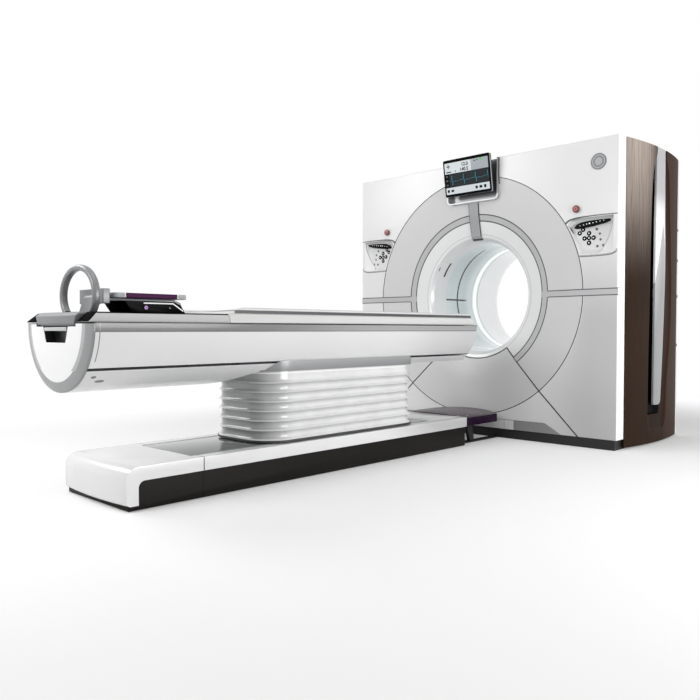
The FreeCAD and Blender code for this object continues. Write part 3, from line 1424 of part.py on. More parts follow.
def build():
    parts["front_cover"] = make_front_cover()
    parts["front_trim"] = make_front_trim()
    parts["lower_front_panel"] = make_lower_front_panel()
    parts["bore_funnel"] = make_bore_funnel()
    parts["scan_window"] = make_scan_window()
    parts["light_ring"] = make_light_ring()
    parts["rear_liner"] = make_rear_liner()
    parts["right_side_panel"] = make_side_panel()
    parts["left_side_panel"] = mirrored(parts["right_side_panel"])
    parts["blade_trims"] = pair(make_blade())
    parts["rear_cover"] = make_rear_cover()
    parts["top_cover"] = make_top_cover()
    parts["right_control_panel"] = make_control_panel()
    parts["left_control_panel"] = mirrored(parts["right_control_panel"])
    parts["right_stop_button"] = make_stop_button()
    parts["left_stop_button"] = mirrored(parts["right_stop_button"])
    for name, (x, z) in key_places().items():
        parts["right_key_" + name] = make_key(x, z)
        parts["left_key_" + name] = mirrored(parts["right_key_" + name])
    parts["monitor_bracket"] = make_monitor_bracket()
    parts["monitor"] = make_monitor()
    parts["gantry_base"] = make_gantry_base()
    parts["stator_frame"] = make_stator_frame()
    parts["main_bearing"] = make_main_bearing()
    parts["rotor_drum"] = make_rotor_drum()
    parts["xray_tube"] = make_xray_tube()
    parts["detector_arc"] = make_detector_arc()
    parts["high_voltage_generator"] = make_generator()
    parts["slip_ring"] = make_slip_ring()
    parts["drive_motor"] = make_drive_motor()
    parts["motor_pulley"] = make_motor_pulley()
    parts["drive_belt"] = make_drive_belt()
    parts["table_body"] = make_table_body()
    parts["lower_shell"] = make_lower_shell()
    parts["column_collar"] = make_column_collar()
    parts["table_frame"] = make_table_frame()
    parts["foot_end_cap"] = make_foot_end_cap()
    parts["latch_block"] = make_latch_block()
    parts["release_paddle"] = make_release_paddle()
    parts["foot_deck"] = make_foot_deck()
    parts["hoop_handle"] = make_hoop_handle()
    parts["tray_bracket"] = make_tray_bracket()
    parts["tray"] = make_tray()
    parts["console"] = make_console()
    parts["console_button"] = make_console_button()
    parts["cradle"] = make_cradle()
    parts["bellows"] = make_bellows()
    parts["column_carriage"] = make_column_carriage()
    parts["scissor_inner_arms"] = make_scissor_inner_arms()
    parts["scissor_outer_arms"] = make_scissor_outer_arms()
    parts["table_base"] = make_table_base()
    parts["base_cover"] = make_base_cover()
    parts["base_skirt"] = make_base_skirt()
    parts["track_plate"] = make_track_plate()
    parts["dock_bridge"] = make_dock_bridge()


build()
os.makedirs("parts", exist_ok=True)
for name, shape in parts.items():
    if not shape.isValid() or not shape.Solids:
        print("check", name, shape.isValid(), len(shape.Solids))
    if len(shape.Solids) > 1:
        print(name, "has", len(shape.Solids), "solids")
    shape.exportStep("parts/" + name + ".step")
print(len(parts), "sub-parts")
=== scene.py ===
import bpy
import bmesh
import json
import math
import numpy as np
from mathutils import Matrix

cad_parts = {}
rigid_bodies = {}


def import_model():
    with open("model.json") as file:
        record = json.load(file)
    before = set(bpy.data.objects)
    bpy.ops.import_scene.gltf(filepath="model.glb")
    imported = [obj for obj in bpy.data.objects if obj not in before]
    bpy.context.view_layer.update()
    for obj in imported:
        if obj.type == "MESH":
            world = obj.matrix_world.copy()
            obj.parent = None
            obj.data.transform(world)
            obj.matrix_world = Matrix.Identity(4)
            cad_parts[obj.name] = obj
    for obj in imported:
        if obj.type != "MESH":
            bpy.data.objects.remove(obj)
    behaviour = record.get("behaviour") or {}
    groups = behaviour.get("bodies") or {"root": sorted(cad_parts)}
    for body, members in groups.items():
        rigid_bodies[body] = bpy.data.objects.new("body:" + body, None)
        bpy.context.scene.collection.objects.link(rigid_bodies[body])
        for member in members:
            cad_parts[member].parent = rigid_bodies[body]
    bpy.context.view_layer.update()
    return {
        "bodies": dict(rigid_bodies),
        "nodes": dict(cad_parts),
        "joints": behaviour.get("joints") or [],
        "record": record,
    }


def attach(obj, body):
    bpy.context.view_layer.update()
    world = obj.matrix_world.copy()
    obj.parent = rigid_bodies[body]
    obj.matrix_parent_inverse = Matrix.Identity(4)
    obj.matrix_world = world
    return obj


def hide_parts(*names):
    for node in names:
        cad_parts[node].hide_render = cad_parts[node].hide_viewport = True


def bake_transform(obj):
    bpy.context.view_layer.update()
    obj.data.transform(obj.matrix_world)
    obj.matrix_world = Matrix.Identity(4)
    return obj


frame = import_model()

nodes = frame["nodes"]
print("frame loaded:", len(nodes), "nodes")


def shade(code):
    # an sRGB hex code as linear red, green, blue, with a full alpha
    values = np.array([int(code[i:i + 2], 16) / 255 for i in (1, 3, 5)])
    linear = np.where(values <= 0.04045, values / 12.92, ((values + 0.055) / 1.055) ** 2.4)
    return (*linear.tolist(), 1.0)


def node(tree, kind, **settings):
    made = tree.nodes.new(kind)
    for key, value in settings.items():
        setattr(made, key, value)
    return made


def feed(tree, value, socket):
    # links a field or a socket, or writes a plain number or colour
    value = value.socket if isinstance(value, Field) else value
    if isinstance(value, bpy.types.NodeSocket):
        tree.links.new(value, socket)
    else:
        socket.default_value = value


class Field:
    # a number that a material works out at each point of a surface; comparisons give masks of 0 and 1,
    # a product of masks means and, and | takes the larger value
    def __init__(self, tree, socket):
        self.tree, self.socket = tree, socket

    def work(self, operation, *values):
        made = node(self.tree, "ShaderNodeMath", operation=operation)
        for value, socket in zip(values, made.inputs):
            feed(self.tree, value, socket)
        return Field(self.tree, made.outputs[0])

    __add__ = __radd__ = lambda self, other: self.work("ADD", self, other)
    __mul__ = __rmul__ = lambda self, other: self.work("MULTIPLY", self, other)
    __sub__ = lambda self, other: self.work("SUBTRACT", self, other)
    __rsub__ = lambda self, other: self.work("SUBTRACT", other, self)
    __truediv__ = lambda self, other: self.work("DIVIDE", self, other)
    __lt__ = lambda self, other: self.work("LESS_THAN", self, other)
    __gt__ = lambda self, other: self.work("GREATER_THAN", self, other)
    __or__ = lambda self, other: self.work("MAXIMUM", self, other)
    __abs__ = lambda self: self.work("ABSOLUTE", self)


def within(value, low, high):
    # 1 where low < value < high
    return (value > low) * (value < high)


def around(value, middle, half):
    # 1 where the value lies less than half from the middle
    return within(value, middle - half, middle + half)


def ease(value, low, high):
    # 0 below low, 1 above high, a soft step between
    made = node(value.tree, "ShaderNodeMapRange", interpolation_type="SMOOTHSTEP")
    for name, setting in (("Value", value), ("From Min", low), ("From Max", high)):
        feed(value.tree, setting, made.inputs[name])
    return Field(value.tree, made.outputs["Result"])


def fall(value, low, high):
    # 1 below low, 0 above high
    return 1.0 - ease(value, low, high)


def span(a, b):
    # the length of (a, b)
    squares = a * a + b * b
    return squares.work("SQRT", squares)


def fraction(value):
    # what is left of a value over its whole part
    return value.work("FRACT", value)


def blendColour(tree, factor, a, b):
    made = node(tree, "ShaderNodeMix", data_type="RGBA")
    for i, value in ((0, factor), (6, a), (7, b)):
        feed(tree, value, made.inputs[i])
    return made.outputs[2]


def noise(tree, place, scale, detail=3.0, stretch=(1, 1, 1)):
    mapping = node(tree, "ShaderNodeMapping")
    mapping.inputs["Scale"].default_value = stretch
    tree.links.new(place, mapping.inputs["Vector"])
    made = node(tree, "ShaderNodeTexNoise")
    made.inputs["Scale"].default_value = scale
    made.inputs["Detail"].default_value = detail
    tree.links.new(mapping.outputs[0], made.inputs["Vector"])
    return Field(tree, made.outputs["Fac"])


lookDefaults = {"driftScale": 2.5, "stretch": (1, 1, 1), "bumpDepth": 0.001, "roughSpread": 0.08,
                "driftSpan": (0.35, 0.65), "driftDetail": 2.0}
lookSockets = {"metal": "Metallic", "coat": "Coat Weight", "coatRough": "Coat Roughness", "ior": "IOR",
               "specular": "Specular IOR Level"}


def look(colour, rough, drift, grain, bump=0.04, **more):
    # the settings of a finish; more holds keys of lookDefaults or lookSockets, glow or glowColour
    return dict(lookDefaults, colour=colour, rough=rough, drift=drift, grain=grain, bump=bump) | more


def finish(name, settings, pattern=None):
    # a slow drift of colour, a fine grain in roughness and bump, and a pattern's (mask, colour) layers over them
    material = bpy.data.materials.new(name)
    material.use_nodes = True
    tree = material.node_tree
    shader = tree.nodes["Principled BSDF"]
    place = node(tree, "ShaderNodeTexCoord").outputs["Object"]
    base = shade(settings["colour"])
    deep = (*(c * (1 - settings["drift"]) for c in base[:3]), 1.0)
    slow = noise(tree, place, settings["driftScale"], settings["driftDetail"])
    colour = blendColour(tree, ease(slow, *settings["driftSpan"]), base, deep)
    fine = noise(tree, place, settings["grain"], settings["driftDetail"], settings["stretch"])
    spread = settings["roughSpread"]
    feed(tree, fine * spread + (settings["rough"] - spread / 2), shader.inputs["Roughness"])
    bump = node(tree, "ShaderNodeBump")
    bump.inputs["Strength"].default_value = settings["bump"]
    bump.inputs["Distance"].default_value = settings["bumpDepth"]
    feed(tree, fine, bump.inputs["Height"])
    tree.links.new(bump.outputs[0], shader.inputs["Normal"])
    glow, glowColour = settings.get("glow"), shade(settings.get("glowColour", settings["colour"]))
    if pattern:
        split = node(tree, "ShaderNodeSeparateXYZ")
        tree.links.new(place, split.inputs[0])
        laid = pattern(*(Field(tree, socket) for socket in split.outputs))
        layers = laid["layers"] if isinstance(laid, dict) else laid
        for mask, code in layers:
            colour = blendColour(tree, mask, colour, shade(code))
        if isinstance(laid, dict):
            glow, glowColour = laid["glow"], colour
    feed(tree, colour, shader.inputs["Base Color"])
    if glow is not None:
        feed(tree, glowColour, shader.inputs["Emission Color"])
        feed(tree, glow, shader.inputs["Emission Strength"])
    for key, socket in lookSockets.items():
        if key in settings:
            shader.inputs[socket].default_value = settings[key]
    return material


smoothing = {"weld": 0.00001, "crisp": math.radians(28), "flat": math.radians(0.6), "bevelFrom": math.radians(35),
             "segments": 3}


def smoothGroup():
    # joins the loose triangles, smooths them and keeps sharp edges crisp
    group = bpy.data.node_groups.new("crispSmooth", "GeometryNodeTree")
    group.is_modifier = True
    for way in ("INPUT", "OUTPUT"):
        group.interface.new_socket("Geometry", in_out=way, socket_type="NodeSocketGeometry")
    drop = node(group, "GeometryNodeRemoveAttribute")
    drop.inputs["Name"].default_value = "custom_normal"
    merge = node(group, "GeometryNodeMergeByDistance")
    merge.inputs["Distance"].default_value = smoothing["weld"]
    smoothFaces = node(group, "GeometryNodeSetShadeSmooth", domain="FACE")
    crispEdges = node(group, "GeometryNodeSetShadeSmooth", domain="EDGE")
    crispEdges.inputs["Shade Smooth"].default_value = False
    above = node(group, "FunctionNodeCompare", data_type="FLOAT", operation="GREATER_THAN")
    above.inputs[1].default_value = smoothing["crisp"]
    angle = node(group, "GeometryNodeInputMeshEdgeAngle")
    group.links.new(angle.outputs["Unsigned Angle"], above.inputs[0])
    group.links.new(above.outputs[0], crispEdges.inputs["Selection"])
    chain = [node(group, "NodeGroupInput"), drop, merge, smoothFaces, crispEdges, node(group, "NodeGroupOutput")]
    for first, second in zip(chain, chain[1:]):
        group.links.new(first.outputs[0], second.inputs[0])
    return group


crispSmooth = smoothGroup()


def dress(names, material, edge=0.0):
    # gives carried-over CAD nodes their finish, smooth shading and, where asked, softly broken edges
    for name in names.split():
        piece = nodes[name]
        piece.data.materials.clear()
        piece.data.materials.append(material)
        if edge:
            piece.modifiers.new("weld", "WELD").merge_threshold = smoothing["weld"]
            flat = piece.modifiers.new("flat", "DECIMATE")
            flat.decimate_type = "DISSOLVE"
            flat.angle_limit = smoothing["flat"]
            soft = piece.modifiers.new("soft", "BEVEL")
            soft.width = edge
            soft.segments = smoothing["segments"]
            soft.limit_method = "ANGLE"
            soft.angle_limit = smoothing["bevelFrom"]
        piece.modifiers.new("shading", "NODES").node_group = crispSmooth


# some of the patterns it lays paint shade and highlights
def dressIn(names, name, colour, rough, drift, grain, bump=0.04, pattern=None, edge=0.0, **more):
    # dresses nodes in a finish of their own
    dress(names, finish(name, look(colour, rough, drift, grain, bump, **more), pattern), edge)


def gridPart(grid, wrapRows=False):
    # a grid of points as quads, closed along its columns, and closed along its rows or capped at both ends
    rows, columns = grid.shape[:2]
    index = np.arange(rows * columns).reshape(rows, columns)
    if wrapRows:
        index = np.vstack([index, index[:1]])
    index = np.hstack([index, index[:, :1]])
    quads = np.stack([index[:-1, :-1], index[:-1, 1:], index[1:, 1:], index[1:, :-1]], axis=-1).reshape(-1, 4)
    faces = quads.tolist()
    if not wrapRows:
        faces.append(list(range(columns))[::-1])
        faces.append([(rows - 1) * columns + i for i in range(columns)])
    return grid.reshape(-1, 3), faces


def makePiece(name, parts, material, body, crisp=32, replaces=()):
    # joins parts to one mesh with its normals outward, and hangs it on its body
    points, faces, start = [], [], 0
    for partPoints, partFaces in parts:
        points.append(partPoints)
        faces += [[i + start for i in face] for face in partFaces]
        start += len(partPoints)
    mesh = bpy.data.meshes.new(name)
    mesh.from_pydata(np.vstack(points), [], faces)
    work = bmesh.new()
    work.from_mesh(mesh)
    bmesh.ops.recalc_face_normals(work, faces=work.faces)
    work.to_mesh(mesh)
    work.free()
    mesh.shade_smooth()
    mesh.set_sharp_from_angle(angle=math.radians(crisp))
    mesh.materials.append(material)
    piece = bpy.data.objects.new(name, mesh)
    bpy.context.scene.collection.objects.link(piece)
    if body:
        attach(piece, body)
    if replaces:
        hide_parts(*replaces)
    return piece


def unit(vectors):
    return vectors / np.linalg.norm(vectors, axis=-1, keepdims=True)


def carried(path, profile, up, scale=None):
    # a profile (sideways, upwards) carried along a path; up is the rough upward direction
    path, profile = np.asarray(path, float), np.asarray(profile, float)
    tangent = unit(np.gradient(path, axis=0))
    side = unit(np.cross(tangent, np.broadcast_to(up, tangent.shape)))
    lift = np.cross(side, tangent)
    grown = (np.ones(len(path)) if scale is None else np.asarray(scale, float))[:, None, None]
    return gridPart(path[:, None] + side[:, None] * profile[None, :, :1] * grown
                    + lift[:, None] * profile[None, :, 1:] * grown)


def squircle(width, height, power, count):
    # a rounded rectangle: cosine and sine raised to 2 / power
    turn = np.linspace(0, 2 * np.pi, count, endpoint=False)
    c, s = np.cos(turn), np.sin(turn)
    return np.stack([width / 2 * np.sign(c) * np.abs(c) ** (2 / power),
                     height / 2 * np.sign(s) * np.abs(s) ** (2 / power)], axis=1)


def roundCorners(points, radius, steps):
    # each corner of an outline becomes a short curve between points set back by the radius
    points = np.asarray(points, float)
    start = points + unit(np.roll(points, 1, 0) - points) * radius
    end = points + unit(np.roll(points, -1, 0) - points) * radius
    t = np.linspace(0, 1, steps)[None, :, None]
    curve = (1 - t) ** 2 * start[:, None] + 2 * t * (1 - t) * points[:, None] + t ** 2 * end[:, None]
    return curve.reshape(-1, 2)


def box(x0, x1, z0, z1):
    return [(x0, z0), (x1, z0), (x1, z1), (x0, z1)]


def drawnIn(outline, inset):
    # an outline moved inwards by inset along its own normals
    tangent = unit(np.roll(outline, -1, 0) - np.roll(outline, 1, 0))
    normal = np.stack([-tangent[:, 1], tangent[:, 0]], axis=1)
    area = np.sum(outline[:, 0] * np.roll(outline[:, 1], -1) - np.roll(outline[:, 0], -1) * outline[:, 1])
    return outline + normal * inset * np.sign(area)


def softSlab(outline, low, high, rounding, axes, steps):
    # an outline raised from low to high, with a quarter round at both rims; axes name (outline 1, outline 2, height)
    turn = np.linspace(0, np.pi / 2, steps)
    insets = np.concatenate([rounding * (1 - np.sin(turn)), rounding * (1 - np.cos(turn))])
    levels = np.concatenate([low + rounding * (1 - np.cos(turn)), high - rounding + rounding * np.sin(turn)])
    rings = np.stack([drawnIn(outline, inset) for inset in insets])
    grid = np.zeros((len(levels), len(outline), 3))
    first, second, third = ["xyz".index(a) for a in axes]
    grid[:, :, first] = rings[:, :, 0]
    grid[:, :, second] = rings[:, :, 1]
    grid[:, :, third] = levels[:, None]
    return gridPart(grid)


def lathe(centre, axis, profile, count):
    # a profile of (radius, along) turned round an axis through the centre
    axis = unit(np.asarray(axis, float))
    first = unit(np.cross(axis, (0.3, 0.5, 0.8)))
    second = np.cross(axis, first)
    turn = np.linspace(0, 2 * np.pi, count, endpoint=False)
    ring = first * np.cos(turn)[:, None] + second * np.sin(turn)[:, None]
    profile = np.asarray(profile, float)
    return gridPart(np.asarray(centre) + ring[None] * profile[:, None, :1] + axis * profile[:, None, 1:])


view = {"place": (3.041, -4.833, 0.771), "tilt": 88.39, "turn": 44.04, "lens": 36.97, "sensor": 36, "clip": 60}
camera = bpy.data.objects.new("camera", bpy.data.cameras.new("camera"))
camera.location = view["place"]
camera.rotation_euler = (math.radians(view["tilt"]), 0, math.radians(view["turn"]))
camera.data.lens = view["lens"]
camera.data.sensor_width = view["sensor"]
camera.data.clip_end = view["clip"]
bpy.context.scene.collection.objects.link(camera)
bpy.context.scene.camera = camera
bpy.context.scene.view_settings.view_transform = "Standard"

# lamps: name, place, aim, width, height, power
studio = {"ambient": 0.37, "lamps": [("highLeft", (-3.0, -4.2, 3.2), (0, -0.9, 0.9), 2.0, 2.0, 77),
                                     ("overFront", (0.6, -2.4, 4.2), (0.4, -0.4, 1.3), 2.4, 1.6, 25),
                                     ("highFoot", (-0.3, -5.3, 2.2), (0, -3.5, 0.6), 1.3, 1.0, 30),
                                     ("lowRight", (4.3, -1.2, 1.0), (0, -1.9, 0.55), 2.4, 1.6, 90),
                                     ("rightBack", (4.3, 1.4, 2.5), (0.9, 0.1, 1.3), 2.0, 2.4, 13)],
          "floor": ("#EEEEEE", "#F0F0F0"), "floorLift": 0.16, "floorHalf": 40, "paperRough": 0.9,
          "paperGloss": 0.1, "paperGrain": 3.0, "fadeMiddle": -1.4, "fade": (2.7, 5.0), "fadeLeft": (1.6, 3.2)}


def seenDirectly(tree):
    # 1 for rays that show the background: straight from the camera, in gloss and through glass
    path = node(tree, "ShaderNodeLightPath")
    straight, gloss, glass = (Field(tree, path.outputs["Is " + kind + " Ray"])
                              for kind in ("Camera", "Glossy", "Transmission"))
    return straight | gloss | glass


world = bpy.data.worlds.new("studio")
world.use_nodes = True
bpy.context.scene.world = world
sky = world.node_tree.nodes["Background"]
sky.inputs["Color"].default_value = (1, 1, 1, 1)
seen = seenDirectly(world.node_tree)
feed(world.node_tree, studio["ambient"] + seen * (1 - studio["ambient"]), sky.inputs["Strength"])


def softLamp(name, place, aim, width, height, power):
    lamp = bpy.data.lights.new(name, "AREA")
    lamp.shape = "RECTANGLE"
    lamp.size, lamp.size_y, lamp.energy = width, height, power
    made = bpy.data.objects.new(name, lamp)
    direction = np.array(aim, float) - np.array(place, float)
    made.location = place
    yaw = math.atan2(direction[1], direction[0]) - math.pi / 2
    pitch = math.atan2(direction[2], math.hypot(direction[0], direction[1]))
    made.rotation_euler = (math.pi / 2 + pitch, 0, yaw)
    bpy.context.scene.collection.objects.link(made)


for lamp in studio["lamps"]:
    softLamp(*lamp)

floorFinish = bpy.data.materials.new("floorPaper")
floorFinish.use_nodes = True
tree = floorFinish.node_tree
seen = seenDirectly(tree)
paper = tree.nodes["Principled BSDF"]
paper.inputs["Roughness"].default_value = studio["paperRough"]
paper.inputs["Specular IOR Level"].default_value = studio["paperGloss"]
paper.inputs["Emission Color"].default_value = (1, 1, 1, 1)
place = node(tree, "ShaderNodeTexCoord").outputs["Object"]
feed(tree, blendColour(tree, noise(tree, place, studio["paperGrain"]), *map(shade, studio["floor"])),
     paper.inputs["Base Color"])
feed(tree, seen * studio["floorLift"], paper.inputs["Emission Strength"])
# the paper turns to the white of the background well outside the object's shadow
split = node(tree, "ShaderNodeSeparateXYZ")
tree.links.new(place, split.inputs[0])
x, y, _ = (Field(tree, socket) for socket in split.outputs)
away = ease(span(x, y - studio["fadeMiddle"]), *studio["fade"]) | ease(x * -1.0, *studio["fadeLeft"])
white = node(tree, "ShaderNodeEmission")
white.inputs["Color"].default_value = (1, 1, 1, 1)
faded = node(tree, "ShaderNodeMixShader")
for i, value in enumerate((seen * away, paper.outputs[0], white.outputs[0])):
    feed(tree, value, faded.inputs[i])
tree.links.new(faded.outputs[0], tree.nodes["Material Output"].inputs["Surface"])
floorMesh = bpy.data.meshes.new("floor")
far = studio["floorHalf"]
floorMesh.from_pydata([(-far, -far, 0), (far, -far, 0), (far, far, 0), (-far, far, 0)], [], [(0, 1, 2, 3)])
floorMesh.materials.append(floorFinish)
floor = bpy.data.objects.new("floor", floorMesh)
bpy.context.scene.collection.objects.link(floor)
print("camera, light and floor set")


# gantry covers
bay = {"half": 0.222, "corner": 0.034, "low": 1.705, "gap": (-0.003, 0.0095), "face": -0.395}
# radii from the bore's axis, heights, and depths: ahead takes in the dish, proud only what stands before the face
gantry = {"bore": 1.019, "apex": 0.905, "mouth": 0.454, "ringOut": 0.598, "ringGap": (0.596, 0.6012),
          "band": 1.014, "bandGap": (0.0212, 0.0242), "dish": 0.8665, "groove": (0.864, 0.8704),
          "grooveRim": (0.8704, 0.8726), "ahead": -0.3, "outer": -0.35, "grooveFace": -0.392, "rimFace": -0.398,
          "sideEdge": 1.0985, "rim": -0.3985, "proud": -0.4002, "seamHalf": 0.0064, "seamTop": 0.75}
badge = {"x": 0.967, "z": 1.848, "radius": 0.0525, "rim": 0.049, "line": (0.0385, 0.041), "middle": 0.0245}
pad = {"proud": -0.4004, "top": 0.135, "topLine": 0.1318, "wing": 0.3634, "wingLine": (0.3625, 0.3655),
       "blockLine": (0.2835, 0.2865), "mouthLine": (0.452, 0.4625)}
rear = {"back": 0.6485, "side": (0.618, 0.6215), "foot": (0.148, 0.1515), "middle": 0.02, "round": 0.52,
        "roundLine": (0.518, 0.5215), "flank": 1.095, "catchDepth": (0.6, 0.64), "catchHalf": 0.009,
        "catches": (1.4947, 1.2742, 1.015, 0.66)}
trim = {"inner": (0.54, 0.5552), "outer": (0.593, 0.5985), "open": 0.02, "bandEdge": 0.0172, "bandFrom": 0.6}
coverLook = look("#E4E4E4", 0.3, 0.02, 700, 0.015, coat=0.25, coatRough=0.2)


def boreRadius(x, z):
    # the distance from the bore's axis
    return span(x, z - gantry["bore"])


def seamMask(x, y, z):
    # 1 on the two seams that fall at 45 degrees from the apex, outside the bore's mouth
    seam = around(abs(x) + z, gantry["apex"], gantry["seamHalf"])
    return seam * (boreRadius(x, z) > gantry["mouth"] + 0.003) * (z < gantry["seamTop"]) * (y < gantry["ahead"])


def coverPattern(x, y, z):
    # the cover darker towards the lower right as painted shade, the dish a little greyer, the groove darkened as
    # painted shade with a painted highlight just outside it, the seams dark, a painted highlight on the side edges,
    # dark lines round the ring, the bands and the bay
    radius = boreRadius(x, z)
    ahead, front, proud = y < gantry["ahead"], y < gantry["outer"], y < gantry["proud"]
    # the distance outside the bay's rounded outline
    inset = bay["half"] - bay["corner"]
    gap = span(abs(x) - inset | 0.0, (bay["low"] + bay["corner"]) - z | 0.0) - bay["corner"]
    disc = span(x - badge["x"], z - badge["z"])
    # painted shade: the face darkens towards the lower right
    return [(ease(x, 0.5, 0.95) * fall(z, 0.8, 1.5) * 0.85, "#B6B6B6"),
            ((radius < gantry["dish"]) * ahead, "#D0D0D0"),
            # painted shade in the groove, and a painted highlight on the ring just outside it
            (within(radius, *gantry["groove"]) * (y < gantry["grooveFace"]), "#2B2B2D"),
            (within(radius, *gantry["grooveRim"]) * (y < gantry["rimFace"]), "#F4F4F4"),
            (within(radius, *gantry["ringGap"]) * front * (abs(x) + z > gantry["apex"]), "#4A4A4C"),
            (seamMask(x, y, z), "#262628"),
            # painted highlight on the cover's side edges
            ((abs(x) > gantry["sideEdge"]) * (y > gantry["rim"]), "#FAFAFA"),
            (within(gap, *bay["gap"]) * (z > bay["low"] - 0.02) * (y < bay["face"]), "#1C1C1E"),
            (within(abs(z - gantry["band"]), *gantry["bandGap"]) * (radius > gantry["ringOut"]) * front, "#77777A"),
            ((disc < badge["radius"]) * proud, "#7E8082"),
            (within(disc, *badge["line"]) * proud, "#C9CBCC"),
            (within(disc, badge["rim"], badge["radius"]) * proud, "#5E6062"),
            ((disc < badge["middle"]) * proud, "#A6A8AA")]


def lowerPattern(x, y, z):
    # the docking pad: white block ends inside grey wings, dark lines between them, and the mouth's dark rim
    out = abs(x)
    block = (y < pad["proud"]) * (z < pad["top"])
    return coverPattern(x, y, z) + [
        (block, "#DEDEDE"),
        (block * (out > pad["wing"]), "#8E8E8F"),
        (block * within(out, *pad["wingLine"]), "#4C4C4E"),
        (block * within(out, *pad["blockLine"]), "#8B8B8D"),
        (block * (z > pad["topLine"]), "#5E5E60"),
        (within(boreRadius(x, z), *pad["mouthLine"]) * (y < gantry["ahead"]), "#3A3A3C")]


def rearPattern(x, y, z):
    # service doors on the back, and dark catches down each side's rear edge
    out, radius = abs(x), boreRadius(x, z)
    doors = within(out, *rear["side"]) | within(z, *rear["foot"]) * (out > rear["middle"])
    lines = doors * (radius > rear["round"]) | within(radius, *rear["roundLine"])
    side = (out > rear["flank"]) * within(y, *rear["catchDepth"])
    return [(lines * (y > rear["back"]), "#55575A")] + [(side * around(z, height, rear["catchHalf"]), "#3A302C")
                                                        for height in rear["catches"]]


def trimPattern(x, y, z):
    # thin dark outlines on the ring and on the two side bands
    radius, off = boreRadius(x, z), abs(z - gantry["band"])
    ring = (within(radius, *trim["inner"]) | within(radius, *trim["outer"])) * (1.0 - (off < trim["open"]))
    return [(ring | (off > trim["bandEdge"]) * (radius > trim["bandFrom"]), "#4A4A4C")]


dress("front_cover", finish("coverWhite", coverLook, coverPattern))
dress("lower_front_panel", finish("lowerWhite", coverLook, lowerPattern))
dress("rear_cover", finish("rearWhite", coverLook, rearPattern))
dress("top_cover", finish("shellWhite", coverLook))
dressIn("front_trim", "trimGrey", "#BDBDBE", 0.36, 0.05, 900, 0.02, pattern=trimPattern)

# marks are (depth span, height span)
throat = {"mouthLine": (0.4525, 0.456), "rimLine": (0.5465, 0.551), "wall": 0.2,
          "longMark": ((-0.2555, -0.2375), (1.185, 1.288)), "shortMark": ((-0.318, -0.312), (1.227, 1.254)),
          "thick": (-0.0285, -0.0115), "thickTop": 1.395, "thin": (-0.023, -0.017), "planeOut": 0.13,
          "planeLow": 0.8, "level": (1.006, 1.019), "levelSpan": (-0.17, 0.107), "high": (0.034, 0.044),
          "highSpan": (0.045, 0.18), "upper": 1.3, "glow": 0.1, "ringMiddle": 0.222, "ringHalf": 0.048}
boreLook = look("#E8E9E9", 0.22, 0.02, 600, 0.01, coat=0.4)


def funnelPattern(x, y, z):
    # seams round the mouth, a long and a short dark mark on each side of the throat
    out, radius = abs(x), boreRadius(x, z)
    ahead = y < gantry["ahead"]
    long, short = (within(y, *depths) * within(z, *heights) * (out > throat["wall"])
                   for depths, heights in (throat["longMark"], throat["shortMark"]))
    return [(ahead * within(radius, *throat["mouthLine"]), "#B9BDBE"),
            (ahead * within(radius, *throat["rimLine"]), "#6B6B6D"),
            (seamMask(x, y, z), "#2E2E30"), (long, "#2A2F31"), (short, "#7B8082")]


def windowPattern(x, y, z):
    # the scan plane's line on both walls, thin at the top, and the laser's level mark across it; the glass paler
    # towards the light ring as painted light, and a faint painted glow over all but the marks
    out = abs(x)
    line = within(y, *throat["thick"]) * (z < throat["thickTop"]) | within(y, *throat["thin"])
    plane = line * (out > throat["planeOut"]) * (z > throat["planeLow"])
    level = within(z, *throat["level"]) * within(y, *throat["levelSpan"])
    high = within(y, *throat["high"]) * within(out, *throat["highSpan"]) * (z > throat["upper"])
    return {"layers": [(plane, "#10181B"),
                       (level, "#161B1D"),
                       (high, "#9DB0B3"),
                       # painted light: the glass brightens towards the light ring
                       (ease(y, 0.05, 0.17), "#EEF5F5")],
            # a faint painted glow on the glass, kept off the marks
            "glow": (1.0 - (plane | level)) * throat["glow"]}


def ringPattern(x, y, z):
    # brightest along its middle, falling off to both edges
    bright = fall(abs(y - throat["ringMiddle"]) / throat["ringHalf"], 0.1, 1.0)
    return {"layers": [(1.0, "#DCE6E7"), (bright, "#FFFFFF")], "glow": bright * 0.5 + 0.06}


dress("bore_funnel", finish("funnelWhite", boreLook, funnelPattern))
# the rear liner glows: painted light standing in for light from behind the bore
dress("rear_liner", finish("linerWhite", dict(boreLook, colour="#F1F2F2", glow=0.22, glowColour="#FFFFFF")))
dressIn("scan_window", "windowPale", "#D3DDDF", 0.14, 0.04, 500, 0.008, pattern=windowPattern, coat=0.5)
dressIn("light_ring", "ringGlow", "#E6EEEE", 0.34, 0.03, 300, 0.01, pattern=ringPattern)


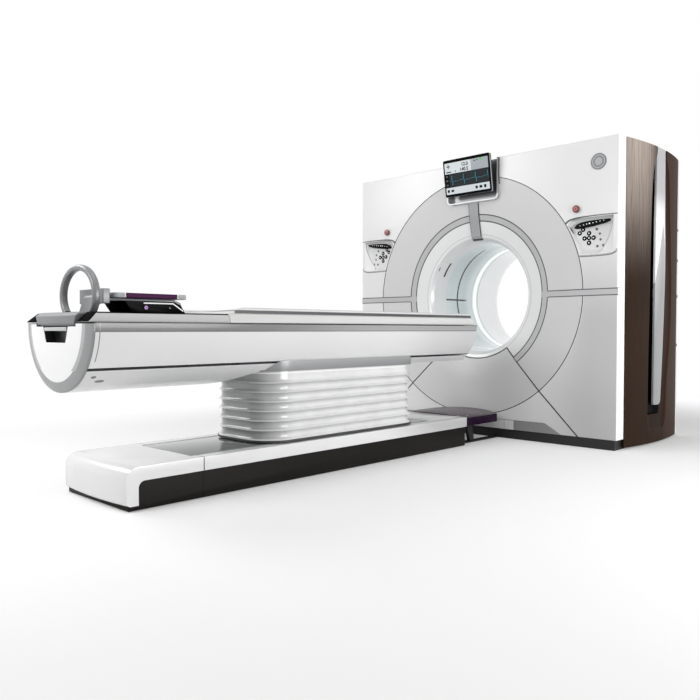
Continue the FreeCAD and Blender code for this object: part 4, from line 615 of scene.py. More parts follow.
# side panels: (height, depth in the gantry) of the recess's and the blade's edges
flank = {"front": -0.295, "rear": 0.59, "outer": 1.1488, "bow": 0.044, "wall": 0.015,
         "recessFront": [(0.09, 0.03), (0.1, 0.018), (0.115, 0.006), (0.15, -0.009), (0.2, -0.016),
                         (0.54, -0.012), (1.09, 0.0026), (1.43, 0.0086), (1.62, 0.016), (1.74, 0.0235),
                         (1.82, 0.035), (1.88, 0.053), (1.925, 0.08), (1.955, 0.095), (2.0, 0.098)],
         "recessRear": [(0.09, 0.215), (0.1125, 0.2544), (0.14, 0.282), (0.1785, 0.295), (0.3, 0.303),
                        (0.434, 0.315), (0.56, 0.345), (0.7, 0.38), (0.85, 0.4), (1.0, 0.406), (1.15, 0.4),
                        (1.35, 0.38), (1.6, 0.352), (1.8, 0.331), (1.86, 0.318), (1.9, 0.29),
                        (1.935, 0.262), (2.0, 0.257)],
         "recessLow": 0.092, "blackLow": 0.2, "blackFrom": (0.015, 0.15), "shallow": 0.0125,
         "softness": 0.018, "deep": 0.0225,
         # beside the recess's edges the columns stand closer; the black ends in a soft step next to the blade
         "edgeGap": 0.0004, "edgeWidth": 0.008, "blackSoft": 0.0075, "blackBack": 0.03, "blackFade": 0.04,
         "skinLeast": 0.006,
         "bladeFront": [(0.262, 0.0925), (0.268, 0.084), (0.28, 0.081), (0.65, 0.084), (1.0, 0.088),
                        (1.43, 0.09), (1.77, 0.097), (2.0, 0.0992)],
         "bladeRear": [(0.262, 0.188), (0.268, 0.196), (0.28, 0.2006), (0.588, 0.232), (0.876, 0.2556),
                      (1.06, 0.268), (1.2, 0.273), (1.33, 0.27), (1.495, 0.26), (1.791, 0.2528),
                      (2.0, 0.2517)],
         "bladeProud": 0.0016, "bladeThick": 0.018, "crown": 0.0034, "bladeFoot": 0.262, "footNarrow": 0.012,
         "footSoft": 0.02, "bladeColumns": 15, "facet": (1.491, 0.214, 3.2),
         # rows of the panel and of the blade: (from, to, count); columns between its marks
         "rows": [(0.01, 0.088, 4), (0.0921, 0.3, 34), (0.31, 1.72, 44), (1.73, 2.0, 34)],
         "bladeRows": [(0.262, 0.284, 8), (0.3, 1.9997, 60)], "columns": (24, 6, 16, 8, 16, 16),
         "stands": (0.39, 1.019, 1.8), "standSpan": (0.12, 0.15), "standTall": 0.03, "standOut": (1.108, 1.1335)}


def edgeAt(name, z):
    # an edge's place at each height, its table smoothed by averaging over a short stretch
    table = np.array(flank[name])
    return np.mean([np.interp(z + d, table[:, 0], table[:, 1]) for d in np.linspace(-0.012, 0.012, 7)], axis=0)


def softStep(t):
    # 3 t^2 - 2 t^3, held between 0 and 1
    t = np.clip(t, 0, 1)
    return t * t * (3 - 2 * t)


def bowAt(y):
    # the panel's plan line, for numbers or fields: outer - bow * ((y - middle) / half)^2
    middle, half = (flank["front"] + flank["rear"]) / 2, (flank["rear"] - flank["front"]) / 2
    off = (y - middle) / half
    return flank["outer"] - flank["bow"] * (off * off)


def flankPart(sign, y, height, outer, inner):
    # a wall between two depths under the bow line
    sheets = [np.stack([sign * (bowAt(y) - depth), y, height], axis=2) for depth in (outer, inner)]
    return gridPart(np.concatenate([sheets[0], sheets[1][:, ::-1]], axis=1))


def sidePanel(sign):
    # columns follow the recess's edges; its depth = shallow * (1 - e^(-d / softness)) + deep * step(d in the black)
    z = np.concatenate([np.linspace(*row) for row in flank["rows"]])
    f, r = edgeAt("recessFront", z), edgeAt("recessRear", z)
    blade, fade = edgeAt("bladeRear", z) - flank["blackBack"], flank["blackFade"]
    marks = [np.full(len(z), flank["front"]), f - flank["edgeGap"], f + flank["edgeWidth"], blade, blade + fade,
             r + flank["edgeGap"],
             np.full(len(z), flank["rear"])]
    columns = [low[:, None] + (high - low)[:, None] * np.linspace(0, 1, count, endpoint=False)
               for low, high, count in zip(marks, marks[1:], flank["columns"])]
    y = np.hstack(columns + [marks[-1][:, None]])
    f, r, blade, height = f[:, None], r[:, None], blade[:, None], z[:, None] + np.zeros_like(y)
    inside = np.minimum(np.minimum(y - f, r - y), height - flank["recessLow"])
    black = np.minimum(y - f, height - flank["blackLow"])
    depth = (flank["shallow"] * (1 - np.exp(-np.clip(inside, 0, None) / flank["softness"]))
             + flank["deep"] * softStep(black / flank["blackSoft"]) * (1 - softStep((y - blade) / fade)) * (inside > 0))
    return flankPart(sign, y, height, depth, np.maximum(flank["wall"], depth + flank["skinLeast"]))


def sideBlade(sign):
    # a thin bar between its two edges, narrowed at its foot, crowned across by (2t - 1)^4
    z = np.concatenate([np.linspace(*row) for row in flank["bladeRows"]])
    front = np.interp(z, *np.array(flank["bladeFront"]).T)
    rear = edgeAt("bladeRear", z) - flank["footNarrow"] * (1 - softStep((z - flank["bladeFoot"]) / flank["footSoft"]))
    t = np.linspace(0, 1, flank["bladeColumns"])
    y = front[:, None] + (rear - front)[:, None] * t
    crown = flank["bladeProud"] + flank["crown"] * (2 * t - 1) ** 4
    return flankPart(sign, y, z[:, None] + np.zeros_like(y), crown, flank["bladeThick"])


def bladeStand(sign, z):
    # a short block between a blade and the floor of its recess
    outline = roundCorners(box(*flank["standSpan"], z - flank["standTall"], z + flank["standTall"]), 0.004, 4)
    return softSlab(outline, *sorted(sign * out for out in flank["standOut"]), 0.001, "yzx", 2)


def sidePattern(x, y, z):
    # dark brown with upright streaks, a painted sheen towards the top front, redder at the rear, darker into the recess
    # as painted shade, and black deep in the recess as painted shade
    depth = bowAt(y) - abs(x)
    place = node(x.tree, "ShaderNodeTexCoord").outputs["Object"]
    streaks = noise(x.tree, place, 5.0, 4.0, (60, 60, 0.8))
    # painted sheen on the upper front
    return [(ease(z, 1.05, 2.05) * fall(y, -0.1, 0.16) * 0.95, "#BDAFA5"),
            (ease(y, 0.24, 0.3), "#3C281D"),
            (ease(streaks, 0.42, 0.66) * 0.5, "#1D120D"),
            # painted shade: darker with depth into the recess, black where it is deepest
            (ease(depth, 0.001, 0.01) * 0.55, "#241610"),
            ((depth > flank["blackFrom"][0]) * (z > flank["blackFrom"][1]), "#030303")]


def bladePattern(x, y, z):
    # white between a greyer top and a grey facet that starts as a point, where z < top - steep |y - middle|; the grey
    # of the top and of the facet is painted shade
    top, middle, steep = flank["facet"]
    facet = top - abs(y - middle) * steep - z
    # painted shade on the facet and on the top
    return [(ease(facet, -0.004, 0.012), "#B2B3B3"),
            (ease(facet, 0.0, 0.45) * 0.8, "#8C8D8E"),
            (ease(z, 1.56, 1.72) * 0.9, "#AFB0B1")]


panelBrown = finish("panelBrown", look("#31231A", 0.5, 0.16, 240, 0.03, driftScale=2, stretch=(1, 1, 0.05),
                                       specular=0.3, ior=1.16), sidePattern)
bladeWhite = finish("bladeWhite", look("#F2F3F3", 0.3, 0.03, 500, 0.01, stretch=(1, 1, 0.02), specular=0.3),
                    bladePattern)
for name, sign in (("left", -1), ("right", 1)):
    makePiece(name + "SidePanel", [sidePanel(sign)], panelBrown, "gantry", crisp=24,
              replaces=[name + "_side_panel"])
bladeParts = [sideBlade(sign) for sign in (-1, 1)]
bladeParts += [bladeStand(sign, z) for sign in (-1, 1) for z in flank["stands"]]
makePiece("sideBlades", bladeParts, bladeWhite, "gantry", replaces=["blade_trims"])
print("gantry covers dressed")


# control pockets: outlines in (out from the middle, height); lights in (out, height, width, height)
pocket = {"keyX": 0.893, "keyZ": 1.368, "ring": 0.031, "face": -0.375, "floor": -0.372,
          "arrow": 0.0068, "strip": -0.4003, "visorSpan": (-0.3896, -0.3712),
          "lightSpan": (-0.3899, -0.3893), "cheek": {"top": 1.4957, "tall": 0.2159, "out": 1.064, "bulge": 0.0901},
          "cheekLine": (-0.0035, 0.0015), "brow": (1.466, 1.5), "foot": (1.256, 1.272), "middleKey": 0.0142,
          "keyFront": -0.3705, "ringLine": (0.049, 0.0505), "trayFront": -0.3725,
          # discs are (radius, low, high), rings (radius, width, high), strips (width, depth, start size, end size)
          "keyDisc": (0.015, 0.0, 0.0018), "haloDisc": (0.0156, 0.0, 0.0008), "middleDisc": (0.0146, 0.0, 0.0024),
          "dot": (0.0044, 0.0016, 0.0021), "middleRing": (0.0052, 0.0026, 0.003), "faintRing": (0.0026, 0.0007),
          "hoodSize": (0.0105, 0.006, 1.25, 0.5), "sillSize": (0.0085, 0.0068, 0.8, 1.15),
          "shadeSize": (0.0042, 0.0022, 1.0, 1.0), "shadeDrop": 0.0068, "shadeDepth": -0.3998,
          "hood": [(0.7405, 1.4735), (0.76, 1.487), (0.788, 1.4968), (0.832, 1.5032), (0.903, 1.506),
                   (1.0, 1.5066), (1.096, 1.505)],
          "sill": [(0.837, 1.2545), (0.9, 1.253), (1.0, 1.2535), (1.045, 1.2562), (1.072, 1.263),
                   (1.088, 1.273), (1.0915, 1.284)],
          "visor": [(0.796, 1.4405), (0.806, 1.4338), (0.86, 1.434), (0.93, 1.4425), (1.0, 1.454),
                    (1.04, 1.4655), (1.044, 1.4785), (0.98, 1.4802), (0.9, 1.4778), (0.845, 1.4722),
                    (0.815, 1.46)],
          "lights": [(0.838, 1.4505, 0.007, 0.0025), (0.862, 1.4545, 0.008, 0.0035), (0.884, 1.4585, 0.005, 0.0075),
                     (0.903, 1.461, 0.0085, 0.0085), (0.927, 1.4625, 0.0085, 0.004), (0.95, 1.466, 0.0055, 0.0065),
                     (0.974, 1.4685, 0.0085, 0.003), (0.998, 1.4715, 0.006, 0.0045)],
          "dark": [(0.8515, 1.4262), (0.829, 1.4045)],
          "faint": [(0.945, 1.421, 0.0092), (0.966, 1.3905, 0.00782), (0.971, 1.353, 0.00782),
                    (0.95, 1.3115, 0.00897), (0.9905, 1.3145, 0.00897)]}
stop = {"x": 0.819, "z": 1.56, "radius": 0.0238, "front": -0.4178, "back": -0.4062, "round": 0.004, "stem": 0.0098,
        "stemEnd": -0.016, "rim": 0.0062, "paleRing": (0.0085, 0.012)}
turns = {"up": math.pi / 2, "down": -math.pi / 2, "in": 0.0, "out": math.pi}


def pocketPattern(x, y, z):
    # the tray greyer than its outer cheek with a soft grey line between them, as painted shade, painted shadow under
    # the brow, a painted highlight near the foot, the middle key dark, a thin ring round the keys
    out = abs(x)
    cheek = pocket["cheek"]
    drop = (cheek["top"] - z) / cheek["tall"]
    past = out - (cheek["out"] - drop * drop * cheek["bulge"])
    inside = y > gantry["rim"]
    middle = span(out - pocket["keyX"], z - pocket["keyZ"])
    # painted shade in the tray and along the cheek, painted shadow under the brow, a painted highlight near the foot
    return [(inside * (past < 0.0), "#DCDCDC"),
            (inside * within(past, *pocket["cheekLine"]), "#A6A6A7"),
            (inside * ease(z, *pocket["brow"]), "#9FA0A1"),
            (inside * fall(z, *pocket["foot"]) * 0.6, "#F4F4F4"),
            ((middle < pocket["middleKey"]) * (y < pocket["keyFront"]), "#0A0A0B"),
            (within(middle, *pocket["ringLine"]) * (y > pocket["trayFront"]), "#BFC0C1")]


def stopPattern(x, y, z):
    # a darker rim and a paler ring round the middle
    r = span(abs(x) - stop["x"], z - stop["z"])
    return [(r > stop["radius"] - stop["rim"], "#571414"), (within(r, *stop["paleRing"]), "#C08A88")]


dressIn("left_control_panel right_control_panel", "pocketWhite", "#ECECEC", 0.42, 0.03, 900, 0.02, pattern=pocketPattern,
     edge=0.0008)
dressIn(" ".join(side + "_key_" + way for side in ("left", "right") for way in turns), "keyDark", "#0C0C0E", 0.5, 0.08,
     1200, 0.05, edge=0.001, ior=1.15)
markWhite = finish("markWhite", look("#EDEFEF", 0.4, 0.02, 800, glow=0.25))
# a grey strip along the hood's edge: painted shade of the hood's underside
hoodShadeGrey = finish("hoodShadeGrey", look("#565759", 0.3, 0.05, 700, 0.02, metal=0.2))
sillSilver = finish("sillSilver", look("#B4B5B6", 0.24, 0.05, 600, 0.01, metal=0.5))
sillShade = finish("sillShade", look("#45464A", 0.5, 0.05, 600))
visorBlack = finish("visorBlack", look("#08090A", 0.4, 0.2, 400, 0.004, ior=1.15))
stopRed = finish("stopRed", look("#8A2422", 0.3, 0.1, 500, 0.01, driftScale=60, coat=0.3), stopPattern)
printDark = finish("printDark", look("#0A0B0C", 0.5, 0.1, 900, ior=1.12))
printFaint = finish("printFaint", look("#5E6063", 0.5, 0.1, 900))


def arrowPart(x, z, turn):
    # a small triangle with soft corners that points along turn
    length, corner = pocket["arrow"], turn + np.array([0, 2.25, -2.25])
    outline = np.stack([x + length * np.cos(corner), z + length * np.sin(corner)], axis=1)
    return softSlab(roundCorners(outline, length * 0.2, 3), pocket["face"] - 0.0003, pocket["face"] + 0.0006, 0.0001,
                    "xzy", 2)


def smoothPath(points, count):
    # a path through points, each stretch a cubic with Catmull-Rom tangents
    points = np.asarray(points, float)
    padded = np.vstack([2 * points[0] - points[1], points, 2 * points[-1] - points[-2]])
    place = np.linspace(0, len(points) - 1 - 1e-9, count)
    i = place.astype(int)
    t = (place - i)[:, None]
    a, b, c, d = padded[i], padded[i + 1], padded[i + 2], padded[i + 3]
    return 0.5 * (2 * b + (c - a) * t + (2 * a - 5 * b + 4 * c - d) * t ** 2 + (3 * b - a - 3 * c + d) * t ** 3)


def faceStrip(points, y, width, depth, start, end, count=90):
    # a rounded strip on the gantry's face along points (x, z), its size going from start to end
    path = np.insert(smoothPath(points, count), 1, y, axis=1)
    return carried(path, squircle(width, depth, 2.4, 14), (0, -1, 0), scale=np.linspace(start, end, count))


def discPart(x, z, radius, low, high):
    # a flat disc on the pocket's floor, its rim softened
    return lathe((x, pocket["floor"], z), (0, -1, 0), [(0.0001, low), (radius, low), (radius, high - 0.0004),
                                                     (radius - 0.0005, high), (0.0001, high)], 28)


def ringPart(x, z, radius, width, high):
    # a flat ring on the pocket's floor
    return lathe((x, pocket["floor"], z), (0, -1, 0), [(radius - width, 0.0), (radius, 0.0), (radius, high),
                                                     (radius - width, high), (radius - width, 0.0001)], 28)


def stopHead(sign):
    # a flat head with a quarter round at its rim, on a stem that fills the hole
    t = np.linspace(0, np.pi / 2, 9)
    radius, rounding, depth = stop["radius"], stop["round"], stop["back"] - stop["front"]
    dome = zip(radius - rounding + rounding * np.sin(t), depth - rounding + rounding * np.cos(t))
    profile = [(0.0001, depth), *dome, (radius, 0.001), (radius - 0.001, 0.0), (stop["stem"] + 0.0002, 0.0),
               (stop["stem"], stop["stemEnd"]), (0.0001, stop["stemEnd"])]
    return lathe((sign * stop["x"], stop["back"], stop["z"]), (0, -1, 0), profile, 64)


for side, sign in (("left", -1), ("right", 1)):
    flip = np.array([sign, 1.0])
    keyX, keyZ = pocket["keyX"], pocket["keyZ"]
    keys = {way: (sign * (keyX + math.cos(turn) * pocket["ring"]), keyZ + math.sin(turn) * pocket["ring"])
            for way, turn in turns.items()}
    for way, turn in turns.items():
        pointing = turn if sign > 0 or way in ("up", "down") else math.pi - turn
        makePiece(side + "Arrow_" + way, [arrowPart(*keys[way], pointing)], markWhite, side + "_key_" + way)
    hood, sill = np.array(pocket["hood"]), np.array(pocket["sill"])
    lights = [softSlab(roundCorners(box(sign * x - w / 2, sign * x + w / 2, z - h / 2, z + h / 2), 0.0009, 3),
                       *pocket["lightSpan"], 0.0001, "xzy", 2) for x, z, w, h in pocket["lights"]]
    dark = [discPart(sign * x, z, *pocket["keyDisc"]) for x, z in pocket["dark"]]
    dark += [discPart(x, z, *pocket["haloDisc"]) for x, z in keys.values()]
    dark.append(discPart(sign * keyX, keyZ, *pocket["middleDisc"]))
    marks = [discPart(sign * x, z, *pocket["dot"]) for x, z in pocket["dark"]]
    marks.append(ringPart(sign * keyX, keyZ, *pocket["middleRing"]))
    faint = [ringPart(sign * x, z, radius, *pocket["faintRing"]) for x, z, radius in pocket["faint"]]
    for name, parts, material, slot in (
            # painted shade under the hood's edge
            ("HoodShade", [faceStrip(hood * flip, pocket["strip"], *pocket["hoodSize"])], hoodShadeGrey, "trim_grey"),
            ("Sill", [faceStrip(sill * flip, pocket["strip"], *pocket["sillSize"])], sillSilver, "trim_grey"),
            ("SillShade", [faceStrip((sill - (0, pocket["shadeDrop"])) * flip, pocket["shadeDepth"],
                                     *pocket["shadeSize"])], sillShade, "trim_grey"),
            ("Visor", [softSlab(roundCorners(np.array(pocket["visor"]) * flip, 0.0032, 5), *pocket["visorSpan"],
                                0.0014, "xzy", 4)], visorBlack, "console_black"),
            ("VisorLights", lights, markWhite, "control_white"),
            ("PrintedKeys", dark, printDark, "key_dark"),
            ("KeyMarks", marks, markWhite, "control_white"),
            ("FaintMarks", faint, printFaint, "key_dark")):
        makePiece(side + name, parts, material, "gantry")
    makePiece(side + "StopHead", [stopHead(sign)], stopRed, side + "_stop",
              replaces=[side + "_stop_button"])
print("control pockets done")


# monitor: header and footer are measured down from the glass's top
monitor = {"hinge": (0, -0.408, 1.898), "tilt": math.radians(9.0), "front": -0.063, "halfWidth": 0.201,
           "halfHeight": 0.134, "bezel": 0.013, "header": (0.022, 0.1), "footer": (0.2, 0.249), "split": 0.044,
           "beats": 3.2, "figures": 0.034, "figureThick": 0.0003, "figureBold": 0.0007, "figureLift": 0.0014,
           "film": (0.0003, 0.001), "mark": (0.0005, 0.0012), "frame": 0.005, "edge": 0.015, "lip": 0.004,
           # humps of the trace: height, place in the beat, width
           "samples": 420, "beatStart": 0.26, "swell": 0.0035,
           "humps": [(0.04, 0.42, 0.02), (-0.03, 0.48, 0.022), (0.006, 0.72, 0.05)]}
bracket = {"strapTop": 1.7005, "strapLine": (0.0385, 0.0425), "strapFront": -0.34, "inner": (-0.3965, 1.71),
           "ledge": (1.745, 1.775), "tip": 1.444}
cosTilt, sinTilt = math.cos(monitor["tilt"]), math.sin(monitor["tilt"])


def onScreen(points, lift=0.0):
    # flat places (across, up) on the monitor's tilted glass, lifted towards the viewer
    across, up = np.asarray(points, float).T
    depth = monitor["front"] - lift
    return np.stack([across, depth * cosTilt - up * sinTilt, depth * sinTilt + up * cosTilt],
                    axis=1) + np.array(monitor["hinge"])


def screenTile(x0, x1, z0, z1, low, high, corner=0.002):
    # a thin tile with rounded corners on the glass
    outline = roundCorners(box(x0, x1, z0, z1), corner, 4)
    return gridPart(np.stack([onScreen(outline, low), onScreen(outline, high)]))


def screenLine(points, width, low, high):
    # a ribbon that follows points on the glass
    tangent = unit(np.gradient(points, axis=0))
    normal = np.stack([-tangent[:, 1], tangent[:, 0]], axis=1) * width / 2
    corners = [(points + normal, low), (points - normal, low), (points - normal, high), (points + normal, high)]
    return gridPart(np.stack([onScreen(p, r) for p, r in corners], axis=1))


def shellPattern(x, y, z):
    # a black front frame, a silver edge behind it, grey sides, and a painted highlight on the lip below
    dy, dz = y - monitor["hinge"][1], z - monitor["hinge"][2]
    back, rise = dy * cosTilt + dz * sinTilt, dz * cosTilt - dy * sinTilt
    frame = monitor["front"] + monitor["frame"]
    return [(back < frame, "#08090A"),
            (back > monitor["front"] + monitor["edge"], "#3A3C3E"),
            # painted highlight on the lip
            ((rise < monitor["lip"] - monitor["halfHeight"]) * (back > frame), "#D6D7D8")]


def bracketPattern(x, y, z):
    # a dark line down each edge of the strap, and the bay's inside darkened behind its silver rim as painted shade,
    # less so on its pale ledge
    depth, height = bracket["inner"]
    strap, inner = z < bracket["strapTop"], (y > depth) * (z > height)
    return [(strap, "#9FA0A1"),
            (within(abs(x), *bracket["strapLine"]) * strap * (y < bracket["strapFront"]), "#3B3C3E"),
            # painted shade inside the bay, lighter on the ledge
            (inner, "#55575A"),
            (inner * fall(z, *bracket["ledge"]), "#A9AAAB"),
            (z < bracket["tip"], "#3B3C3E")]


dressIn("monitor", "monitorShell", "#B9BBBC", 0.3, 0.05, 700, 0.02, pattern=shellPattern, edge=0.0015, ior=1.15)
bracketSilver = finish("bracketSilver", look("#B9BBBC", 0.28, 0.04, 900, 0.02, metal=0.2), bracketPattern)
dress("monitor_bracket", bracketSilver)

# the strap's last stretch follows the funnel's throat: radius mouth - across cos(t), depth middle - along sin(t)
tongue = {"middle": -0.235, "across": 0.054, "along": 0.104, "lift": 0.0035, "width": 0.084, "thick": 0.009,
          "start": [(-0.3448, 0.478), (-0.3428, 0.466)], "turns": (90, 50, 16)}
turn = np.radians(np.linspace(*tongue["turns"]))
curve = np.stack([tongue["middle"] - tongue["along"] * np.sin(turn), gantry["mouth"] - tongue["across"] * np.cos(turn)],
                 axis=1)
path = np.insert(np.vstack([tongue["start"], curve]) + (0, gantry["bore"]), 0, 0.0, axis=1)
outward = unit(np.gradient(path, axis=0))[:, [0, 2, 1]] * np.array([0, 1, -1])
makePiece("strapTongue", [carried(path + outward * tongue["lift"],
                                  squircle(tongue["thick"], tongue["width"], 9, 40), (1, 0, 0))],
          bracketSilver, "gantry")


def numberPart(text, x, z):
    # generic figures as a thin mesh on the glass
    curve = bpy.data.curves.new("figures", "FONT")
    curve.body = text
    curve.size = monitor["figures"]
    curve.extrude = monitor["figureThick"]
    curve.offset = monitor["figureBold"]
    holder = bpy.data.objects.new("figures", curve)
    bpy.context.scene.collection.objects.link(holder)
    bpy.context.view_layer.update()
    mesh = bpy.data.meshes.new_from_object(holder.evaluated_get(bpy.context.evaluated_depsgraph_get()))
    points = np.zeros(len(mesh.vertices) * 3)
    mesh.vertices.foreach_get("co", points)
    points = points.reshape(-1, 3)
    faces = [list(p.vertices) for p in mesh.polygons]
    bpy.data.objects.remove(holder)
    bpy.data.curves.remove(curve)
    bpy.data.meshes.remove(mesh)
    return onScreen(points[:, :2] + (x, z), monitor["figureLift"] + points[:, 2]), faces


def iconTile(x, z, a, b):
    # a small mark on the glass, its half width a and half height b
    return screenTile(x - a, x + a, z - b, z + b, *monitor["mark"], min(a, b) * 0.5)


screenLooks = {"screenBlack": look("#070808", 0.35, 0.2, 300, ior=1.1),
               "screenDark": look("#1D2326", 0.4, 0.3, 300, driftScale=25, specular=0.15, glow=0.2,
                                  glowColour="#1D262A"),
               "screenSlate": look("#3A4347", 0.3, 0.1, 300, glow=0.25),
               "screenPale": look("#C2C9CC", 0.3, 0.03, 300, glow=0.18, glowColour="#D8DEE0"),
               "screenGrey": look("#989EA3", 0.3, 0.03, 300, glow=0.14, glowColour="#A3A8AE"),
               "screenTeal": look("#1F6E82", 0.4, 0.05, 300, glow=0.4, glowColour="#2C8DA4"),
               "screenGreen": look("#3FA94E", 0.3, 0.05, 300, glow=0.35),
               "screenInk": look("#0F1213", 0.5, 0.1, 300, specular=0.15)}
w, h, split = monitor["halfWidth"] - monitor["bezel"], monitor["halfHeight"], monitor["split"]
headTop, headFoot, footTop, footFoot = (h - down for down in monitor["header"] + monitor["footer"])
squares = np.linspace(headFoot - 0.018, footTop + 0.02, 3)
# the trace: a slow swell with a tall peak, a dip after it and a low hump on each beat
trace = np.linspace(-w + 0.04, w - 0.006, monitor["samples"])
beat = (np.linspace(0, monitor["beats"], monitor["samples"]) + monitor["beatStart"]) % 1.0
wave = monitor["swell"] * np.sin(beat * 6.28)
for rise, at, wide in monitor["humps"]:
    wave = wave + rise * np.exp(-((beat - at) / wide) ** 2)
track = np.stack([trace, (headFoot + footTop) / 2 - 0.006 + wave], axis=1)
# a cross of two bars: half width, half height, low, high
cross = [screenTile(-0.155 - a, -0.155 + a, headTop - 0.026 - b, headTop - 0.026 + b, low, high, 0.0005)
         for a, b, low, high in ((0.015, 0.003, 0.0008, 0.0016), (0.003, 0.015, 0.0006, 0.0015))]
middle = (footTop + footFoot) / 2
# small marks: across, up, half width, half height
inks = [(-0.168, middle, 0.01, 0.01), (-0.132, middle, 0.012, 0.008), (0.078, middle, 0.01, 0.01),
        (0.114, middle, 0.012, 0.009), (0.15, middle, 0.01, 0.011), (-0.155, headFoot + 0.012, 0.022, 0.004),
        (-0.095, headFoot + 0.014, 0.005, 0.0035)]
dim = [(0.076, headTop - 0.014, 0.007, 0.005), (0.098, headTop - 0.012, 0.006, 0.005)]
screenParts = {
    "monitorGlass": ("screenBlack", [screenTile(-w - 0.004, w + 0.004, -h + 0.006, h - 0.004, -0.001, 0.0006, 0.006)]),
    "screenField": ("screenDark", [screenTile(-w + 0.034, w, footTop + 0.001, headFoot - 0.001, 0.0003, 0.0009)]),
    "screenPales": ("screenPale", [screenTile(-w, split, headFoot, headTop, *monitor["film"]),
                                   screenTile(-w, w, footFoot, footTop, *monitor["film"])]),
    "screenHeader": ("screenGrey", [screenTile(split + 0.001, w, headFoot, headTop, *monitor["film"])]),
    "screenSquares": ("screenSlate", [screenTile(-w + 0.006, -w + 0.022, z - 0.0065, z + 0.0065, 0.0005, 0.0011,
                                                 0.0015) for z in squares]),
    "screenTrace": ("screenTeal", [screenLine(track, 0.0016, 0.0007, 0.0013)]),
    "screenLamp": ("screenGreen", [screenTile(0.118, 0.14, headTop - 0.016, headTop - 0.003, *monitor["mark"], 0.004)]),
    "screenDim": ("screenSlate", [iconTile(*icon) for icon in dim]),
    "screenIcons": ("screenInk", [iconTile(*icon) for icon in inks]),
    "screenFigures": ("screenInk", [numberPart("12.0", -0.04, headTop - 0.035),
                                    numberPart("140.5", -0.056, headTop - 0.07),
                                    *cross])}
screens = {name: finish(name, settings) for name, settings in screenLooks.items()}
for name, (material, parts) in screenParts.items():
    makePiece(name, parts, screens[material], "monitor")
print("monitor done")


# inside the gantry
machined = finish("machinedSteel", look("#A5A8AA", 0.28, 0.06, 60, 0.02, metal=0.9, stretch=(0.2, 40, 0.2)))
slip = {"perMetre": 45.0, "face": (0.56, 0.68), "track": (0.5, 0.25)}


def slipPattern(x, y, z):
    # contact tracks as brass rings
    radius = boreRadius(x, z)
    tracks = around(fraction(radius * slip["perMetre"]), *slip["track"]) * within(radius, *slip["face"])
    return [(tracks, "#B98B45")]


dressIn("gantry_base", "plinthBlack", "#161617", 0.5, 0.2, 700, 0.05)
dressIn("stator_frame", "frameSteel", "#6C7174", 0.5, 0.12, 500, 0.05)
dress("main_bearing scissor_inner_arms scissor_outer_arms motor_pulley", machined)
dressIn("rotor_drum detector_arc xray_tube", "castAluminium", "#B1B4B6", 0.4, 0.1, 900, 0.08, metal=0.6)
dressIn("high_voltage_generator drive_motor", "unitGrey", "#4B5054", 0.45, 0.15, 500)
dressIn("slip_ring", "slipTracks", "#3B3F42", 0.35, 0.1, 400, 0.02, pattern=slipPattern, metal=0.4)
dressIn("drive_belt", "beltRubber", "#161616", 0.7, 0.2, 900, 0.1)
print("gantry inside dressed")


# table base
base = {"half": 0.2225, "window": (-2.979, -1.176), "windowTop": 0.1885, "footSeam": -2.945, "headSeam": -1.111,
        "seamHalf": 0.0028, "skirtSeam": 0.0016, "greyer": (-1.75, -1.15), "side": 0.24}
bridge = {"rivets": [(0.19, -0.835), (0.0, -0.835), (-0.19, -0.835), (0.225, -0.772), (0.232, -0.62),
                     (-0.225, -0.772), (-0.232, -0.62)],
          "rivet": [(0.0001, -0.003), (0.006, -0.003), (0.006, 0.0004), (0.004, 0.0011), (0.0001, 0.0013)],
          "top": 0.1975, "fall": 0.014, "half": 0.278, "deck": (0.18, 0.19), "farEdge": (-0.262, -0.256),
          "side": 0.16, "slotSkew": 0.196, "slot": -0.602, "slotHalf": 0.0025, "slotSpan": (0.046, 0.148)}


def basePattern(x, y, z):
    # thin dark seams near both ends, the sides greyer towards the gantry as painted shade, and the window's lining
    # black
    out = abs(x)
    seam = base["seamHalf"]
    seams = around(y, base["footSeam"], seam) * (out > base["half"]) | around(y, base["headSeam"], seam / 2)
    return [(seams, "#3F4041"),
            # painted shade towards the gantry
            (ease(y, *base["greyer"]) * (out > base["side"]), "#C2C2C3"),
            ((out < base["half"] + 0.001) * (z < base["windowTop"]) * within(y, *base["window"]), "#0F0F10")]


def skirtPattern(x, y, z):
    # the cover's seam goes on down the skirt
    return [(around(y, base["footSeam"], base["skirtSeam"]), "#020202")]


def bridgePattern(x, y, z):
    # smoky purple, paler on its top as a painted reflection, a painted highlight along its far edge, a dark slot near
    # its head end
    slot = around(y + x * bridge["slotSkew"], bridge["slot"], bridge["slotHalf"]) * within(x, *bridge["slotSpan"])
    # painted reflection on the top, painted highlight on the far edge
    return [(ease(z, *bridge["deck"]), "#433740"),
            (within(x, *bridge["farEdge"]) * (z > bridge["side"]), "#D9BFCB"),
            (slot * (z > bridge["deck"][0]), "#1E141C")]


